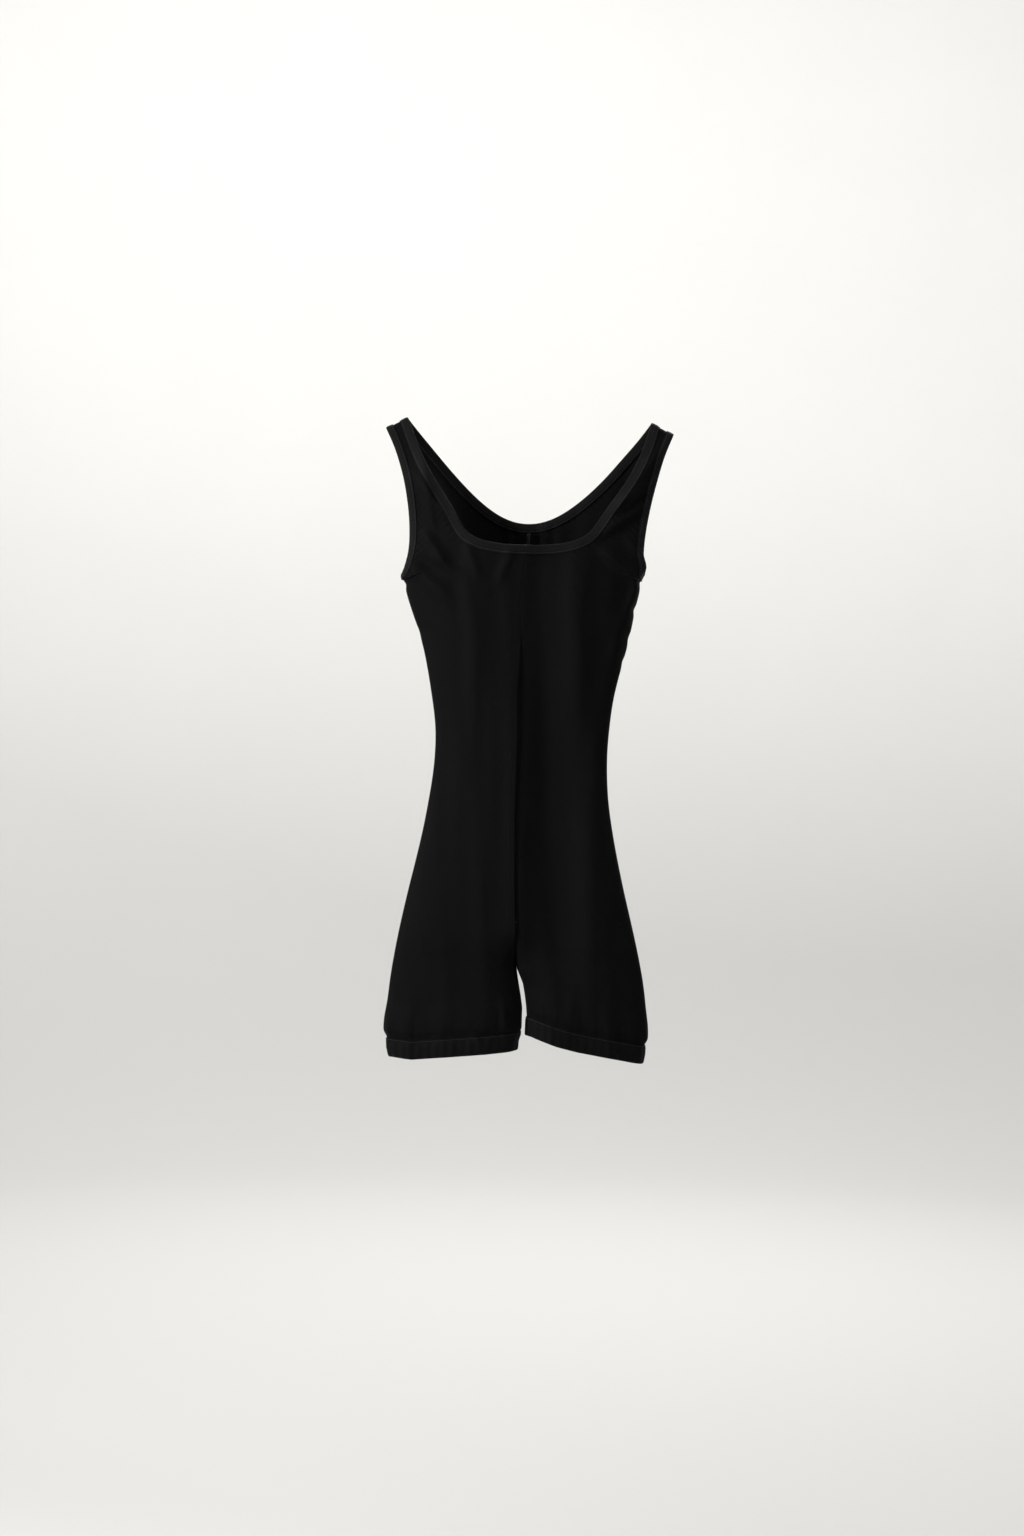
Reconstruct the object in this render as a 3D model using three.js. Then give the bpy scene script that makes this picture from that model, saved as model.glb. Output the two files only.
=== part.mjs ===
// A tank-top leotard with short legs, as it hangs from a clothes hanger. Millimetres, +Z up, front facing -Y.
// The origin is midway between the two shoulder straps, at the height where their undersides rest on the hanger.
// Left and right are the wearer's, so the right side of the garment is at -X.
//
// Every piece of cloth lies on one surface: front is y = -halfDepth(x, z), back is y = +halfDepth(x, z).
// The panels end inside folded bindings, and each binding also holds its elastic.
import * as THREE from "three";

// ---------------------------------------------------------------- driving sizes
const FABRIC = 0.9; // knit thickness
const GAP = 0.35; // left between pieces that touch

const SHOULDER_HALF = 148.5; // centre of each strap from the middle
const STRAP_WIDTH = 27.4; // along the hanger's slope
const HANGER_SLOPE = THREE.MathUtils.degToRad(24);
const HANGER_THICK = 13; // what the straps bend over
const STRAP_OPENING = 100; // height over which front and back part below the hanger

const CHEST_HALF = 136.5; // half widths of the garment as it hangs
const WAIST_HALF = 96.5;
const HEM_HALF = 147;
const HEM_TUCK = 3; // how much the elastic draws each leg in at its band
const TUCK_HEIGHT = 9;

const ARMPIT_DROP = 163; // depths below the origin
const WAIST_DROP = 362;
const CROTCH_DROP = 603;
const LEG_LENGTH = 83; // from the crotch line to the band
const HEM_DROP = CROTCH_DROP + LEG_LENGTH; // the lowest point of the seam between leg and band
const FRONT_NECK_DROP = 135;
const BACK_NECK_DROP = 107;

const CHEST_DEPTH = 26; // half depths, front to back
const WAIST_DEPTH = 19;
const LEG_DEPTH = 24;
const ARM_FLARE = 0.12; // how fast the section widens above the armpit, by height
const SHOULDER_FLARE = 75; // further half width gained up to the shoulder
const FULLNESS = 0.14; // how much fuller than an ellipse a section is towards its side folds
const INNER_FOLD = 0.35; // width of a leg's rounded inner side, as a share of the leg
const VALLEY_DEPTH = 9; // of the furrow along the centre seam, just above the crotch
const VALLEY_HALF = 42;
const VALLEY_START = 40; // below the front neckline
const FULL_HIP = 60; // above the crotch, where the furrow and the hips reach full depth
const CROTCH_CURVE = 28; // height over which the centre seam curves under the crotch

const NECK_BINDING = 10.5; // widths of the folded edges
const ARM_BINDING = 8.5;
const BAND_HEIGHT = 21;
const BINDING_WALL = 0.8;
const BINDING_SLOT = 1.8; // inside the fold
const TUCK_IN = 4; // how far a panel's edge runs into its binding
const LEAD_OUT = 0.6; // the cloth leaves a binding straight for this far
const ELASTIC_THICK = 0.8;
const ELASTIC_END = 0.5; // between the elastic and the cut edge, and at the fold
const SEAM_WIDTH = 6; // overlocked seam allowance
const SEAM_THICK = 1.6;
const SEAM_BACK = 0.75; // from the cloth's inner face, where the fold is narrow
const SHOULDER_SEAM = 6;
const SEAT_THIN = 0.3; // the shoulder seam's thickness at its edges
const THREAD = 0.7;
const STITCH_INSET = 1.6; // stitch line from the mouth of a binding

const SWING_LIMIT = THREE.MathUtils.degToRad(20); // of each leg, fore and aft from the crotch line
const SLEEVE = 10; // upper stretch of the leg that can rise inside the body
const SLEEVE_FLARE = 25; // height over which the leg then comes out to full size

const LABEL_DROP = 470;
const LABEL_HEIGHT = 24;
const LABEL_REACH = 28;
const LABEL_THICK = 0.4;

const LEGS = [
  { side: -1, name: "right", hemInner: HEM_DROP - 10, hemOuter: HEM_DROP, gap: -2 },
  { side: 1, name: "left", hemInner: HEM_DROP - 26, hemOuter: HEM_DROP - 2, gap: 11 },
];

// grid sizes
const COLUMNS = 14;
const BEND_ROWS = 3;
const YOKE_ROWS = 10;
const BODY_ROWS = 11;
const CROTCH_SHARES = [0.5, 0.8, 0.95, 1]; // heights of the rows round the crotch curve
const LEG_ROWS = 6;

// ---------------------------------------------------------------- sizes that follow
const STACK = BINDING_SLOT / 2 + BINDING_WALL - FABRIC / 2; // binding proud of the cloth, each side
const BEND_RADIUS = HANGER_THICK / 2 + FABRIC + STACK; // outer face of the cloth over the hanger
const TOP = FABRIC + STACK; // outer face of the strap at its centre
const ARMPIT = -ARMPIT_DROP;
const WAIST = -WAIST_DROP;
const CROTCH = -CROTCH_DROP;
const HEM = -HEM_DROP;

const { clamp, lerp, smoothstep } = THREE.MathUtils;
const vector = (x, y, z) => new THREE.Vector3(x, y, z);
const steps = (from, to, count) => Array.from({ length: count + 1 }, (_, i) => lerp(from, to, i / count));

// ---------------------------------------------------------------- the surface of the cloth
// Height of the hanger line over the straps at a distance from the middle.
const hangerLine = (x) => TOP - Math.tan(HANGER_SLOPE) * (Math.abs(x) - SHOULDER_HALF);
const belowHanger = (x, z) => (hangerLine(x) - z) * Math.cos(HANGER_SLOPE);
const overHanger = (side) => vector(side * Math.sin(HANGER_SLOPE), 0, Math.cos(HANGER_SLOPE));
const alongHanger = (side) => vector(side * Math.cos(HANGER_SLOPE), 0, -Math.sin(HANGER_SLOPE));

// From 0 at the armpit to 1 at the waist, steep at first and level at the end.
const waistTaper = (t) => 1.2 * t + 0.6 * t ** 2 - 0.8 * t ** 3;

// Half width of a section. Above the armpit the sides stand open, so it widens past the armholes.
function halfWidth(z) {
  if (z > ARMPIT) {
    const up = z - ARMPIT;
    return CHEST_HALF + ARM_FLARE * up + SHOULDER_FLARE * (up / ARMPIT_DROP) ** 3;
  }
  if (z > WAIST) return lerp(CHEST_HALF, WAIST_HALF, waistTaper((z - ARMPIT) / (WAIST - ARMPIT)));
  const tuck = HEM_TUCK * smoothstep(-z, HEM_DROP - TUCK_HEIGHT, HEM_DROP);
  return lerp(WAIST_HALF, HEM_HALF, smoothstep(-z, WAIST_DROP, HEM_DROP)) - tuck;
}

// Half depth at the middle of a section.
function middleDepth(z) {
  const chest = lerp(CHEST_DEPTH, WAIST_DEPTH, smoothstep(-z, ARMPIT_DROP, WAIST_DROP));
  return lerp(chest, LEG_DEPTH, smoothstep(-z, WAIST_DROP, CROTCH_DROP - FULL_HIP));
}

// How far the crotch curve has closed a section at the middle: 0 above it, 1 where the legs part.
function closing(z) {
  const under = clamp((CROTCH + CROTCH_CURVE - z) / CROTCH_CURVE, 0, 1);
  return 1 - Math.sqrt(1 - under * under);
}

// Inner edge of a half section: the centre plane, and below the crotch each leg's inseam.
function innerEdge(side, z) {
  const leg = LEGS.find((one) => one.side === side);
  const down = clamp((CROTCH - z) / (CROTCH - HEM), 0, 1);
  return (side * GAP) / 2 + leg.gap * down ** 0.8;
}

// A section runs from x = inner to x = outer. An inset draws it in on every side.
const NO_INSET = { width: 0, depth: 0 };
function edgesAt(side, z, inset) {
  return {
    inner: innerEdge(side, z) + side * inset.width,
    outer: side * (halfWidth(z) - inset.width),
  };
}

// Depth of the furrow that the centre seam lies in.
function furrowDepth(x, z) {
  const across = Math.min(Math.abs(x) / VALLEY_HALF, 1);
  const down = smoothstep(-z, FRONT_NECK_DROP + VALLEY_START, CROTCH_DROP - FULL_HIP);
  return VALLEY_DEPTH * down * (1 - across ** 2) ** 2;
}

function halfDepth(side, x, z, inset = NO_INSET) {
  const { inner, outer } = edgesAt(side, z, inset);
  const s = clamp((x - inner) / (outer - inner), 0, 1);
  const outerFold = Math.sqrt(1 - s * s) * (1 + FULLNESS * s * s);
  const innerFold = Math.sqrt(1 - (1 - Math.min(s / INNER_FOLD, 1)) ** 2);
  const depth = (middleDepth(z) - inset.depth) * outerFold - furrowDepth(x, z) * (1 - closing(z));
  const full = depth * (1 - closing(z) * (1 - innerFold));
  const below = belowHanger(x, z);
  const over = 1 - clamp(below / BEND_RADIUS, 0, 1);
  return lerp(BEND_RADIUS, full, smoothstep(below, 0, STRAP_OPENING)) * Math.sqrt(1 - over * over);
}

// A point on the cloth's outer face, and the outward normal there. face is -1 in front and 1 behind.
const PROBE = 0.05;
function clothAt(side, face, x, z, inset = NO_INSET) {
  const { inner, outer } = edgesAt(side, z, inset);
  const [least, most] = [Math.min(inner, outer), Math.max(inner, outer)];
  const at = clamp(x, least, most);
  const depth = (dx, dz) => halfDepth(side, at + dx, z + dz, inset);
  const left = Math.max(at - PROBE, least) - at;
  const right = Math.min(at + PROBE, most) - at;
  const slopeX = (depth(right, 0) - depth(left, 0)) / (right - left);
  const slopeZ = (depth(0, 0) - depth(0, -PROBE)) / PROBE;
  return {
    point: vector(at, face * Math.max(depth(0, 0), GAP / 2), z),
    normal: vector(-slopeX, face, -slopeZ).normalize(),
  };
}

// ---------------------------------------------------------------- solids
function facingOut(positions, triangles) {
  const geometry = new THREE.BufferGeometry();
  geometry.setAttribute("position", new THREE.Float32BufferAttribute(positions.flatMap((p) => p.toArray()), 3));
  const volume = triangles.reduce((sum, [a, b, c]) => {
    return sum + positions[a].dot(positions[b].clone().cross(positions[c]));
  }, 0);
  geometry.setIndex(triangles.flatMap(([a, b, c]) => (volume > 0 ? [a, b, c] : [a, c, b])));
  geometry.computeVertexNormals();
  return geometry;
}

// A strip through rings of points that all hold the same number. Open strips get flat ends.
function loft(rings, closed) {
  const size = rings[0].length;
  const triangles = [];
  const count = closed ? rings.length : rings.length - 1;
  for (let j = 0; j < count; j++) {
    const here = j * size;
    const next = ((j + 1) % rings.length) * size;
    for (let i = 0; i < size; i++) {
      const k = (i + 1) % size;
      triangles.push([here + i, here + k, next + k], [here + i, next + k, next + i]);
    }
  }
  if (!closed) {
    const last = (rings.length - 1) * size;
    for (let i = 1; i < size - 1; i++) {
      triangles.push([0, i + 1, i], [last, last + i, last + i + 1]);
    }
  }
  return facingOut(rings.flat(), triangles);
}

// A sheet of cloth through rows of {point, normal}. A row may leave out cells at its ends with null.
function clothSheet(rows) {
  const columns = rows[0].length;
  const cells = rows.flat();
  const index = new Map();
  cells.forEach((cell, at) => {
    if (cell) index.set(at, index.size);
  });
  const present = cells.filter((cell) => cell);
  const count = present.length;
  const outer = present.map(({ point }) => point);
  const inner = present.map(({ point, normal }) => point.clone().addScaledVector(normal, -FABRIC));
  const triangles = [];
  const edges = new Map();
  const addFace = (a, b, c) => {
    triangles.push([a, b, c], [count + a, count + c, count + b]);
    for (const [from, to] of [[a, b], [b, c], [c, a]]) edges.set(`${from} ${to}`, [from, to]);
  };
  for (let j = 0; j < rows.length - 1; j++) {
    for (let k = 0; k < columns - 1; k++) {
      const here = j * columns + k;
      const corners = [here, here + 1, here + 1 + columns, here + columns].map((at) => index.get(at));
      if (corners.includes(undefined)) continue;
      const [a, b, c, d] = corners;
      addFace(a, b, c);
      addFace(a, c, d);
    }
  }
  for (const [from, to] of edges.values()) {
    if (edges.has(`${to} ${from}`)) continue;
    triangles.push([to, from, count + from], [to, count + from, count + to]);
  }
  return facingOut([...outer, ...inner], triangles);
}

// A section swept along stations. A station has a point, the outward normal and the way out past the edge;
// (a, b) of the section are measured along the last two, from the cloth's outer face.
function alongEdge(stations, section) {
  const rings = stations.map(({ point, normal, out }) =>
    section.map(([a, b]) => point.clone().addScaledVector(out, a).addScaledVector(normal, b)),
  );
  return loft(rings, true);
}

// ---------------------------------------------------------------- sections of the edges
// Each is a list of (a, b), from the finished edge and from the cloth's outer face.
const MIDDLE = -FABRIC / 2;
const INSIDE = BINDING_SLOT / 2;
const OUTSIDE = INSIDE + BINDING_WALL;

const foldedStrip = (width) => [
  [-width, MIDDLE - OUTSIDE],
  [0, MIDDLE - OUTSIDE],
  [0, MIDDLE + OUTSIDE],
  [-width, MIDDLE + OUTSIDE],
  [-width, MIDDLE + INSIDE],
  [-BINDING_WALL, MIDDLE + INSIDE],
  [-BINDING_WALL, MIDDLE - INSIDE],
  [-width, MIDDLE - INSIDE],
];

function elasticIn(width) {
  const cutEdge = -width + TUCK_IN + ELASTIC_END;
  const fold = -BINDING_WALL - ELASTIC_END;
  const half = ELASTIC_THICK / 2;
  return [
    [cutEdge, MIDDLE - half],
    [fold, MIDDLE - half],
    [fold, MIDDLE + half],
    [cutEdge, MIDDLE + half],
  ];
}

function threadOn(width) {
  const surface = MIDDLE + OUTSIDE + GAP;
  const line = -width + STITCH_INSET;
  return [
    [line - THREAD / 2, surface],
    [line + THREAD / 2, surface],
    [line, surface + THREAD / 2],
  ];
}

// ---------------------------------------------------------------- edges of the yoke
const halfStrap = (STRAP_WIDTH / 2) * Math.cos(HANGER_SLOPE);
const strapInner = SHOULDER_HALF - halfStrap;
const strapOuter = SHOULDER_HALF + halfStrap;
// A Bezier curve through any number of control points.
const bezier = (...points) => ({
  getPoint(t) {
    let row = points.map(([x, z]) => new THREE.Vector2(x, z));
    while (row.length > 1) row = row.slice(1).map((next, i) => row[i].clone().lerp(next, t));
    return row[0];
  },
});

// Half outlines, from the hanger line to the middle and to the armpit. Control points are shares of the sizes.
const NECKS = {
  front: bezier(
    [strapInner, hangerLine(strapInner)],
    [strapInner * 0.926, -FRONT_NECK_DROP * 0.12],
    [strapInner * 0.863, -FRONT_NECK_DROP * 0.784],
    [strapInner * 0.204, -FRONT_NECK_DROP * 0.664],
    [strapInner * 0.927, -FRONT_NECK_DROP],
    [0, -FRONT_NECK_DROP],
  ),
  back: bezier(
    [strapInner, hangerLine(strapInner)],
    [strapInner * 0.47, -BACK_NECK_DROP * 0.81],
    [strapInner * 0.22, -BACK_NECK_DROP],
    [0, -BACK_NECK_DROP],
  ),
};
const armhole = (scoop) =>
  bezier(
    [strapOuter, hangerLine(strapOuter)],
    [strapOuter * 0.87, -ARMPIT_DROP * 0.31],
    [CHEST_HALF * scoop, -ARMPIT_DROP * 0.83],
    [CHEST_HALF, -ARMPIT_DROP],
  );
const ARMHOLES = { front: armhole(0.885), back: armhole(0.91) };
const FACES = { front: -1, back: 1 };

// Where on a curve the cloth has come a given distance down from the hanger line.
function parameterBelow(curve, distance) {
  let low = 0;
  let high = 1;
  for (let i = 0; i < 40; i++) {
    const t = (low + high) / 2;
    const at = curve.getPoint(t);
    if (belowHanger(at.x, at.y) < distance) low = t;
    else high = t;
  }
  return low;
}

// Curve parameters of the yoke's rows: a few round the bend over the hanger, then down to the end of the curve.
function rowParameters(curve, crowding) {
  const bend = steps(0, Math.PI / 2, BEND_ROWS).map((angle) =>
    angle === 0 ? 0 : parameterBelow(curve, BEND_RADIUS * (1 - Math.cos(angle))),
  );
  const start = bend[BEND_ROWS];
  const rest = steps(0, 1, YOKE_ROWS).slice(1);
  return [...bend, ...rest.map((share) => lerp(start, 1, 1 - (1 - share) ** crowding))];
}

// Points along an edge from the hanger line down, each with its frame. inward is 1 where the edge faces the
// middle of the garment, as the neck's does, and -1 where it faces the side.
function edgeStations(curve, side, face, crowding, inward) {
  const points = rowParameters(curve, crowding).map((t) => {
    const at = curve.getPoint(t);
    return clothAt(side, face, side * at.x, at.y);
  });
  const last = points.length - 1;
  return points.map(({ point, normal }, i) => {
    if (i === 0) {
      const out = alongHanger(side).multiplyScalar(-inward);
      return { point: point.clone().setY(0), normal: overHanger(side), out };
    }
    const before = points[i - 1].point;
    const after = points[Math.min(i + 1, last)].point.clone();
    // The neck edge goes on over the centre line.
    if (i === last) after.set(-before.x, before.y, before.z);
    const out = after.sub(before).cross(normal).normalize();
    const outward = vector(-side * inward, 0, 1);
    return { point, normal, out: out.dot(outward) < 0 ? out.negate() : out };
  });
}

const ARMPIT_CROWDING = 1.7;
const neckEdge = (side, end) => edgeStations(NECKS[end], side, FACES[end], 1, 1);
function armEdge(side, end) {
  const stations = edgeStations(ARMHOLES[end], side, FACES[end], ARMPIT_CROWDING, -1);
  const lean = (halfWidth(ARMPIT) - halfWidth(ARMPIT - ARM_BINDING)) / ARM_BINDING;
  stations[stations.length - 1] = {
    point: vector(side * CHEST_HALF, 0, ARMPIT),
    normal: vector(side, 0, -lean).normalize(),
    out: vector(side * lean, 0, 1).normalize(),
  };
  return stations;
}

// Where a panel runs in a binding: its cut edge, and the place where it comes clear of the fold.
function inSlot({ point, normal, out }, width, keepClear) {
  const at = (distance) => ({
    point: keepClear(point.clone().addScaledVector(out, -distance)),
    normal,
  });
  return { cut: at(width - TUCK_IN), clear: at(width + LEAD_OUT) };
}

// Right and left panels part by GAP at the centre plane, and front and back panels part by GAP at the folds.
function keepToQuarter(side, face) {
  return (point) => {
    point.x = side * Math.max(side * point.x, GAP / 2);
    point.y = face * Math.max(face * point.y, GAP / 2);
    return point;
  };
}

// ---------------------------------------------------------------- panels
const spacing = (k) => (1 - Math.cos((Math.PI * k) / COLUMNS)) / 2;

// Cells of a row from one point of the cloth to another, the ends being as given.
function rowBetween(side, face, from, to) {
  const row = [];
  for (let k = 0; k <= COLUMNS; k++) {
    const at = from.point.clone().lerp(to.point, spacing(k));
    row.push(clothAt(side, face, at.x, at.z));
  }
  row[0] = from;
  row[COLUMNS] = to;
  return row;
}

const centreTop = (end) => -(end === "front" ? FRONT_NECK_DROP : BACK_NECK_DROP) - NECK_BINDING - LEAD_OUT;
const sideTop = ARMPIT - ARM_BINDING - LEAD_OUT;

// Heights of the centre seam's rows, closer together where it curves under the crotch.
function centreHeights(end) {
  const curveTop = CROTCH + CROTCH_CURVE;
  const curve = CROTCH_SHARES.map((share) => lerp(curveTop, CROTCH, share));
  return [...steps(centreTop(end), curveTop, BODY_ROWS), ...curve];
}
const sideHeights = [
  ...steps(sideTop, CROTCH + CROTCH_CURVE, BODY_ROWS),
  ...CROTCH_SHARES.map((share) => lerp(CROTCH + CROTCH_CURVE, CROTCH, share)),
];

// One quarter of the body, from the shoulder to the crotch line.
function bodyPanel(side, end) {
  const face = FACES[end];
  const keepClear = keepToQuarter(side, face);
  const arm = armEdge(side, end);
  const rows = neckEdge(side, end).map((station, j) => {
    const neckSlot = inSlot(station, NECK_BINDING, keepClear);
    const armSlot = inSlot(arm[j], ARM_BINDING, keepClear);
    const row = rowBetween(side, face, neckSlot.clear, armSlot.clear);
    if (j === 0) row.forEach((cell) => cell.normal.copy(overHanger(side)));
    return [neckSlot.cut, ...row, armSlot.cut];
  });
  centreHeights(end).slice(1).forEach((z, j) => {
    const from = clothAt(side, face, 0, z);
    const to = clothAt(side, face, side * CHEST_HALF * 2, sideHeights[j + 1]);
    to.normal.set(side, 0, 0);
    rows.push([null, ...rowBetween(side, face, from, to), null]);
  });
  return clothSheet(rows);
}

// The upper stretch of a leg is drawn in, so that it can swing inside the body's lower edge.
function sleeveInset(z) {
  const share = 1 - smoothstep(CROTCH - z, SLEEVE, SLEEVE + SLEEVE_FLARE);
  const lean = LEG_DEPTH * (1 / Math.cos(SWING_LIMIT) - 1);
  return { width: share * (FABRIC + GAP), depth: share * (FABRIC + 3 * GAP + lean) };
}

// A leg ends in a level-sided band. Its sewing line runs from the inseam to the side fold.
const hemLine = (leg, share) => -lerp(leg.hemInner, leg.hemOuter, share);
function hemStation(leg, face, k) {
  const z = hemLine(leg, spacing(k));
  const { inner, outer } = edgesAt(leg.side, z, NO_INSET);
  const { point, normal } = clothAt(leg.side, face, lerp(inner, outer, spacing(k)), z);
  if (k === 0) normal.set(-leg.side, 0, 0);
  if (k === COLUMNS) normal.set(leg.side, 0, 0);
  normal.setZ(0).normalize();
  const out = vector(0, 0, -1);
  return { point: point.addScaledVector(out, BAND_HEIGHT), normal, out };
}

function legPanel(leg, end) {
  const face = FACES[end];
  const slots = steps(0, COLUMNS, COLUMNS).map((k) =>
    inSlot(hemStation(leg, face, k), BAND_HEIGHT, (point) => point),
  );
  const rows = steps(0, 1, LEG_ROWS).map((share) =>
    slots.map(({ clear }, k) => {
      if (share === 1) return clear;
      const z = lerp(CROTCH, clear.point.z, share);
      const inset = sleeveInset(z);
      const { inner, outer } = edgesAt(leg.side, z, inset);
      const cell = clothAt(leg.side, face, lerp(inner, outer, spacing(k)), z, inset);
      if (k === 0) cell.normal.set(-leg.side, 0, 0);
      if (k === COLUMNS) cell.normal.set(leg.side, 0, 0);
      return cell;
    }),
  );
  return clothSheet([...rows, slots.map(({ cut }) => cut)]);
}

// ---------------------------------------------------------------- loops of edge stations
function neckLoop() {
  const onCentre = ({ point, normal, out }) => ({
    point: point.clone().setX(0),
    normal: normal.clone().setX(0).normalize(),
    out: out.clone().setX(0).normalize(),
  });
  const half = (end, side) => {
    const down = neckEdge(side, end);
    const up = neckEdge(-side, end).reverse();
    return [...down.slice(0, -1), onCentre(down[down.length - 1]), ...up.slice(1, -1)];
  };
  return [...half("front", -1), ...half("back", 1)];
}

function armLoop(side) {
  return [...armEdge(side, "front"), ...armEdge(side, "back").reverse().slice(1, -1)];
}

function legLoop(leg) {
  const ring = [];
  for (let k = 0; k <= COLUMNS; k++) ring.push(hemStation(leg, -1, k));
  for (let k = COLUMNS - 1; k > 0; k--) ring.push(hemStation(leg, 1, k));
  for (const k of [0, COLUMNS]) ring[k].point.setY(0);
  return ring;
}

// ---------------------------------------------------------------- seams
// A strip inside the cloth. A station has a point of the seam, the way into the garment, and the way across.
function seamStrip(stations, back) {
  const start = FABRIC + back;
  const rings = stations.map(({ point, inward, across }) =>
    [
      [start, -1],
      [start + SEAM_WIDTH, -1],
      [start + SEAM_WIDTH, 1],
      [start, 1],
    ].map(([a, b]) => point.clone().addScaledVector(inward, a).addScaledVector(across, (b * SEAM_THICK) / 2)),
  );
  return loft(rings, false);
}

function sideSeam(side) {
  const heights = [...sideHeights.slice(0, -1), CROTCH + GAP];
  const stations = heights.map((z) => ({
    point: vector(side * halfWidth(z), 0, z),
    inward: vector(-side, 0, 0),
    across: vector(0, 1, 0),
  }));
  return seamStrip(stations, SEAM_BACK);
}

// The two seams of a leg, at its side fold (share 1) and at its inseam (share 0).
function legSeam(leg, share) {
  const top = CROTCH - GAP;
  const bottom = hemLine(leg, share) + LEAD_OUT;
  const stations = steps(top, bottom, LEG_ROWS).map((z) => {
    const { inner, outer } = edgesAt(leg.side, z, sleeveInset(z));
    return {
      point: vector(lerp(inner, outer, share), 0, z),
      inward: vector(share ? -leg.side : leg.side, 0, 0),
      across: vector(0, 1, 0),
    };
  });
  return seamStrip(stations, SEAM_BACK);
}

// Down the middle of the front, under the crotch and up the back, in one run.
function centreSeam() {
  const half = (end) => centreHeights(end).map((z) => clothAt(1, FACES[end], 0, z).point.setX(0));
  const front = half("front");
  const path = [...front.slice(0, -1), vector(0, 0, CROTCH), ...half("back").reverse().slice(1)];
  const stations = path.map((point, i) => {
    const before = path[Math.max(i - 1, 0)];
    const after = path[Math.min(i + 1, path.length - 1)];
    const tangent = after.clone().sub(before).normalize();
    return { point, inward: tangent.cross(vector(-1, 0, 0)).normalize(), across: vector(1, 0, 0) };
  });
  return seamStrip(stations, SEAM_BACK);
}

// The shoulder seam's allowance lies under the strap between the two bindings, with a flat face on the hanger.
function shoulderSeam(side) {
  const inner = -STRAP_WIDTH / 2 + NECK_BINDING + GAP;
  const outer = STRAP_WIDTH / 2 - ARM_BINDING - GAP;
  const centre = vector(side * SHOULDER_HALF, 0, TOP).addScaledVector(overHanger(side), -BEND_RADIUS);
  const facet = Math.cos(Math.PI / 4 / BEND_ROWS);
  const radius = (BEND_RADIUS - FABRIC) * facet - GAP;
  const reach = Math.asin(SHOULDER_SEAM / 2 / radius);
  const arc = steps(-reach, reach, 4).map((angle) => [radius * Math.sin(angle), radius * Math.cos(angle)]);
  const flat = radius * Math.cos(reach) - SEAT_THIN;
  const section = [...arc, [SHOULDER_SEAM / 2, flat], [-SHOULDER_SEAM / 2, flat]];
  const rings = [inner, outer].map((shift) =>
    section.map(([y, up]) =>
      centre.clone().addScaledVector(overHanger(side), up).addScaledVector(alongHanger(side), shift).setY(y),
    ),
  );
  return loft(rings, false);
}

function careLabel() {
  const heights = [-LABEL_DROP + LABEL_HEIGHT / 2, -LABEL_DROP - LABEL_HEIGHT / 2];
  const seam = FABRIC + SEAM_BACK + SEAM_WIDTH + GAP;
  const hinge = Math.min(...heights.map(halfWidth)) - seam;
  const box = new THREE.BoxGeometry(LABEL_REACH, LABEL_THICK, LABEL_HEIGHT);
  return box.translate(hinge - LABEL_REACH / 2, 0, -LABEL_DROP);
}

// ---------------------------------------------------------------- materials
const cloth = (color, roughness) => () => new THREE.MeshStandardMaterial({ color, roughness, metalness: 0 });
const jersey = cloth(0x121214, 0.92);
const rib = cloth(0x161618, 0.9);
const elastic = cloth(0x1a1a1c, 0.8);
const thread = cloth(0x1e1e20, 0.6);
const satin = cloth(0xe8e6e0, 0.45);

// ---------------------------------------------------------------- the garment
const leotard = new THREE.Group();
function add(name, geometry, material) {
  const mesh = new THREE.Mesh(geometry, material());
  mesh.name = name;
  leotard.add(mesh);
}

function addEdge(name, stations, width) {
  add(`${name}_binding`, alongEdge(stations, foldedStrip(width)), rib);
  add(`${name}_elastic`, alongEdge(stations, elasticIn(width)), elastic);
  add(`${name}_stitching`, alongEdge(stations, threadOn(width)), thread);
}

addEdge("neck", neckLoop(), NECK_BINDING);
add("centre_seam", centreSeam(), thread);

for (const leg of LEGS) {
  const { side, name } = leg;
  for (const end of ["front", "back"]) {
    add(`${name}_${end}_body`, bodyPanel(side, end), jersey);
    add(`${name}_${end}_leg`, legPanel(leg, end), jersey);
  }
  addEdge(`${name}_armhole`, armLoop(side), ARM_BINDING);
  addEdge(`${name}_hem`, legLoop(leg), BAND_HEIGHT);
  add(`${name}_shoulder_seam`, shoulderSeam(side), thread);
  add(`${name}_side_seam`, sideSeam(side), thread);
  add(`${name}_leg_side_seam`, legSeam(leg, 1), thread);
  add(`${name}_inseam`, legSeam(leg, 0), thread);
}
add("care_label", careLabel(), satin);

export default leotard;
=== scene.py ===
import math

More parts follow.
